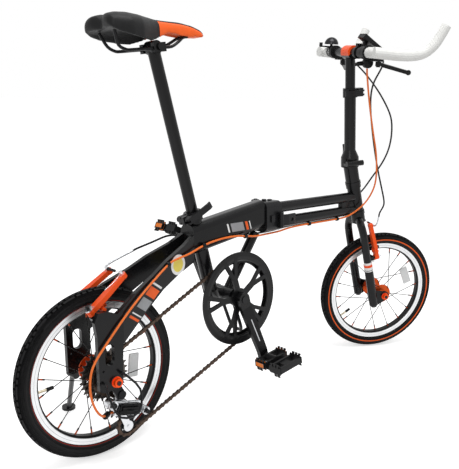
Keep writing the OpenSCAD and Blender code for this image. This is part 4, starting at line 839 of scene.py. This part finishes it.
# %% [markdown]
# The chain guard is a dished ring outside the chainring. It is a flattened torus: round lips, with a shallow
# channel pressed into its face, so that light draws two thin circles on it.

# %% Chain guard
guard_radius, guard_half, guard_flat, guard_out = 0.1070, 0.0112, 0.30, 53.6
channel_lip, channel_depth = 0.0012, 0.0010

bpy.ops.object.select_all(action="DESELECT")
bpy.ops.mesh.primitive_torus_add(major_segments=128, minor_segments=24,
    major_radius=guard_radius, minor_radius=guard_half)
guard = bpy.context.object
guard.name = "chain_guard"
guard.scale.z = guard_flat
bpy.ops.object.transform_apply(location=False, rotation=False, scale=True)
pick(guard, lambda face: abs(face.normal.z) > 0.97)
edit(bpy.ops.mesh.inset, thickness=channel_lip, depth=-channel_depth)
put(guard, crank @ move(0, -guard_out, 0) @ turn("X", 90), crease_metal)
coat(guard, finish("guard_black", black, 0.28, gloss=0.24, bump=0.12))
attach(guard, "crank")
print("chain guard", len(guard.data.polygons), "faces")

# %% [markdown]
# Next to the levers the tape is wound straight on the bar. A cylinder is cut into fine rings, and each point
# is moved out by a saw-tooth that climbs along a helix, as overlapping turns of tape do.

# %% Bar tape
tape_radius, bar_radius, tape_step = 0.0138, 0.013, 0.05

def wrap(name, low, high):
    bpy.ops.object.select_all(action="DESELECT")
    bpy.ops.mesh.primitive_cylinder_add(vertices=48, radius=tape_radius, depth=(high - low) / 1000,
        end_fill_type="NGON")
    made = bpy.context.object
    made.name = name
    edit(bpy.ops.mesh.select_all, action="SELECT")
    edit(bpy.ops.mesh.bisect, plane_co=(0, 0, 0), plane_no=(0, 0, 1))
    pick(made, lambda face: abs(face.normal.z) < 0.5)
    edit(bpy.ops.mesh.subdivide, number_cuts=9)
    for v in made.data.vertices:
        climb = (v.co.z * 1000 / tape_pitch + math.atan2(v.co.y, v.co.x) / math.tau) % 1
        out = 1 + tape_step * climb if math.hypot(v.co.x, v.co.y) > bar_radius else 1
        v.co.x, v.co.y = v.co.x * out, v.co.y * out
    put(made, bar @ move(0, (low + high) / 2, 0) @ turn("X", 90), crease_rubber)
    coat(made, tape_paint)
    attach(made, "bar")
    print(name, len(made.data.polygons), "faces")

wrap("tape_right", -162, -bare_half)
wrap("tape_left_inner", bare_half, 125.5)
wrap("tape_left_outer", 136.5, 162)

# %% [markdown]
# ## Derailleur body
# The solids give the derailleur its hanger, pivots and wire guard. The bulky link outside them is cast and
# painted black, over a bright inner link with a round knuckle at each end. Blocks and rods are bevelled, and
# their faces are inset, so that every edge catches a thin line of light. The parts of one colour are joined.

# %% Blocks and rods
def shaped(made, place, edge, lip, face_axis=1):
    bpy.ops.object.transform_apply(location=False, rotation=True, scale=True)
    edit(bpy.ops.mesh.select_all, action="SELECT")
    edit(bpy.ops.mesh.bevel, offset=edge / 1000, segments=2)
    pick(made, lambda face: abs(face.normal[face_axis]) > 0.99)
    edit(bpy.ops.mesh.inset, thickness=lip / 1000, depth=-lip / 2000)
    put(made, place, crease_metal)
    return made

def block(place, x, y, z, edge=1.5, lip=2.0, face_axis=1):
    bpy.ops.object.select_all(action="DESELECT")
    bpy.ops.mesh.primitive_cube_add(size=0.001)
    bpy.context.object.scale = (x, y, z)
    return shaped(bpy.context.object, place, edge, lip, face_axis)

def rod(place, radius, y, edge=1.0, lip=2.0):
    bpy.ops.object.select_all(action="DESELECT")
    bpy.ops.mesh.primitive_cylinder_add(vertices=40, radius=radius / 1000, depth=y / 1000,
        rotation=(math.pi / 2, 0, 0))
    return shaped(bpy.context.object, place, edge, lip)

def joined(name, paint, body, slot, *pieces):
    bpy.ops.object.select_all(action="DESELECT")
    for piece in pieces:
        piece.select_set(True)
    bpy.context.view_layer.objects.active = pieces[0]
    bpy.ops.object.join()
    made = bpy.context.object
    made.name = name
    coat(made, paint)
    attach(made, body)
    print(name, len(made.data.polygons), "faces")

print("blocks and rods ready")

# %% [markdown]
# The link slopes down towards the front. Its knuckles turn on bolts, and the shift cable ends in a ribbed
# barrel.

# %% Derailleur body
slope = lean @ move(25, 0, 124) @ turn("Y", 14)
rear_knuckle, front_knuckle = (-44, 12), (44, -5)
barrel = lean @ move(-24, -71, 121.5) @ turn("Z", -56)
black_cast = finish("derailleur_cast", nylon_black, 0.26, 0.2)
bright_cast = finish("derailleur_bright", silver, 0.24, 1.0, mottle=0.08)

def knuckle(at, y, radius, length):
    return rod(slope @ move(at[0], y, at[1]), radius, length)

joined("derailleur_link", black_cast, "rear_frame", "drive_black",
    block(slope @ move(0, -85, 1), 54, 11, 25, edge=3.0),
    block(slope @ move(-2, -91, 3), 40, 3, 9, edge=1.0, lip=1.0),
    knuckle(rear_knuckle, -90, 6, 8), knuckle(front_knuckle, -90, 5, 8), rod(barrel, 6.5, 17, edge=1.2))
joined("derailleur_trim", bright_cast, "rear_frame", "cage_alloy",
    block(slope @ move(0, -74, 0), 64, 9, 33, edge=3.0),
    knuckle(rear_knuckle, -77, 11, 24), knuckle(front_knuckle, -78, 9, 20),
    block(slope @ move(-28, -74, 14), 40, 9, 8), rod(lean @ move(14, -71, 158.5), 6, 8))

# %% [markdown]
# ## Pedal teeth
# The cage plates of a pedal have tall teeth, so that a shoe can't slip. A flat strip is cut into cells, the
# edge of every second cell is pulled out into a tooth, and the strip gets its thickness at the end. Next to
# the fold pin one tooth stays short, so that the halves can fold.

# %% Pedal teeth
strip_height, tooth_height, tooth_top, strip_wall, cells = 0.017, 0.0075, 0.55, 0.0028, 7
tooth_foot = 0.012
stand_up = Matrix(((0, 0, 1, 0), (1, 0, 0, 0), (0, 1, 0, 0), (0, 0, 0, 1)))

def teeth(place, low, high, short):
    half = (high - low) / 2000
    step = 2 * half / cells
    bpy.ops.object.select_all(action="DESELECT")
    bpy.ops.mesh.primitive_grid_add(x_subdivisions=cells, y_subdivisions=1, size=1)
    made = bpy.context.object
    made.scale = (2 * half, strip_height, 1)
    bpy.ops.object.transform_apply(location=False, rotation=False, scale=True)
    mesh = made.data
    bpy.context.tool_settings.mesh_select_mode = by_edge
    for side in (1, -1):
        for item in (*mesh.vertices, *mesh.edges, *mesh.polygons):
            item.select = False
        for edge in mesh.edges:
            a, b = (mesh.vertices[i].co for i in edge.vertices)
            cell = int(((a.x + b.x) / 2 + half) / step)
            outer = all(abs(end.y * side - strip_height / 2) < 0.0005 for end in (a, b))
            edge.select = outer and cell % 2 == 1 and (side > 0 or cell != short)
        edit(bpy.ops.mesh.extrude_region_move, TRANSFORM_OT_translate={"value": (0, side * tooth_height, 0)})
    bpy.context.tool_settings.mesh_select_mode = by_face
    for v in mesh.vertices:
        if abs(v.co.y) > tooth_foot:
            middle = (int((v.co.x + half) / (2 * step)) + 0.75) * 2 * step - half
            v.co.x = middle + tooth_top * (v.co.x - middle)
    wall = made.modifiers.new("wall", "SOLIDIFY")
    wall.thickness, wall.offset = strip_wall, 0.0
    bpy.ops.object.modifier_apply(modifier="wall")
    mesh.transform(place @ move(0, (low + high) / 2, 0) @ stand_up)
    if place.determinant() < 0:
        mesh.flip_normals()
    return made

nylon = finish("tooth_nylon", nylon_black, 0.45, bump=0.2, grain=900)
plate_x = 38.4
for side, place in (("right", right_pedal), ("left", left_pedal)):
    for part, low, high, short in (("", 102, 138, 5), ("_flap", 152, 188, 1)):
        joined(f"pedal_{side}{part}_teeth", nylon, f"pedal_{side}{part}", "pedal_plastic",
            *(teeth(place @ move(x, 0, 0), low, high, short) for x in (plate_x, -plate_x)))

# %% [markdown]
# Wide lenses sit on the front and back of one half of each pedal. Only the middle of a lens is orange.

# %% Pedal lenses
lens_x, lens_block, lens_half, lens_high = 41, (3, 31, 15), 13, 5.2

def lens_paint(place, middle):
    def glass(m):
        along = m.band(m.y, middle - lens_half, middle + lens_half)
        return m.every(along, m.below(m.size(m.z), lens_high))
    return finish("pedal_lens", ink, 0.25, place=place, zones=[(glass, amber, 0.2, 0.0)])

for side, place, body, middle in (("right", right_pedal, "pedal_right", 120),
        ("left", left_pedal, "pedal_left_flap", 170)):
    joined(f"pedal_{side}_lenses", lens_paint(place, middle), body, "pedal_plastic",
        *(block(place @ move(x, middle, 0), *lens_block, edge=0.8, lip=1.6, face_axis=0)
            for x in (lens_x, -lens_x)))

# %% [markdown]
# Small clips hold the shift cable under the frame. Each is a short sleeve around the cable.

# %% Cable clips
clip_black = finish("clip_black", ink, 0.4)
clip_radius, clip_length = 5.4, 9

def clips(name, body, *points):
    joined(name, clip_black, body, "fitting_plastic",
        *(rod(lean @ move(*at) @ turn("Z", 90), clip_radius, clip_length, edge=0.8, lip=1.0)
            for at in points))

clips("rear_cable_clips", "rear_frame", (420, -31, 447), (282, -33, 443), (163, -52, 418))
clips("front_cable_clips", "front_frame", (809, -10, 446), (685, -10, 446))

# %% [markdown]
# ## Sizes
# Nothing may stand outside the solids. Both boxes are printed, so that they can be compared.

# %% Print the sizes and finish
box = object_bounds()
sizes = {"cad": [list(v) for v in cad_box], "visual": [list(v) for v in box]}
for kind, corners in sizes.items():
    print(kind, [[round(c, 3) for c in corner] for corner in corners])
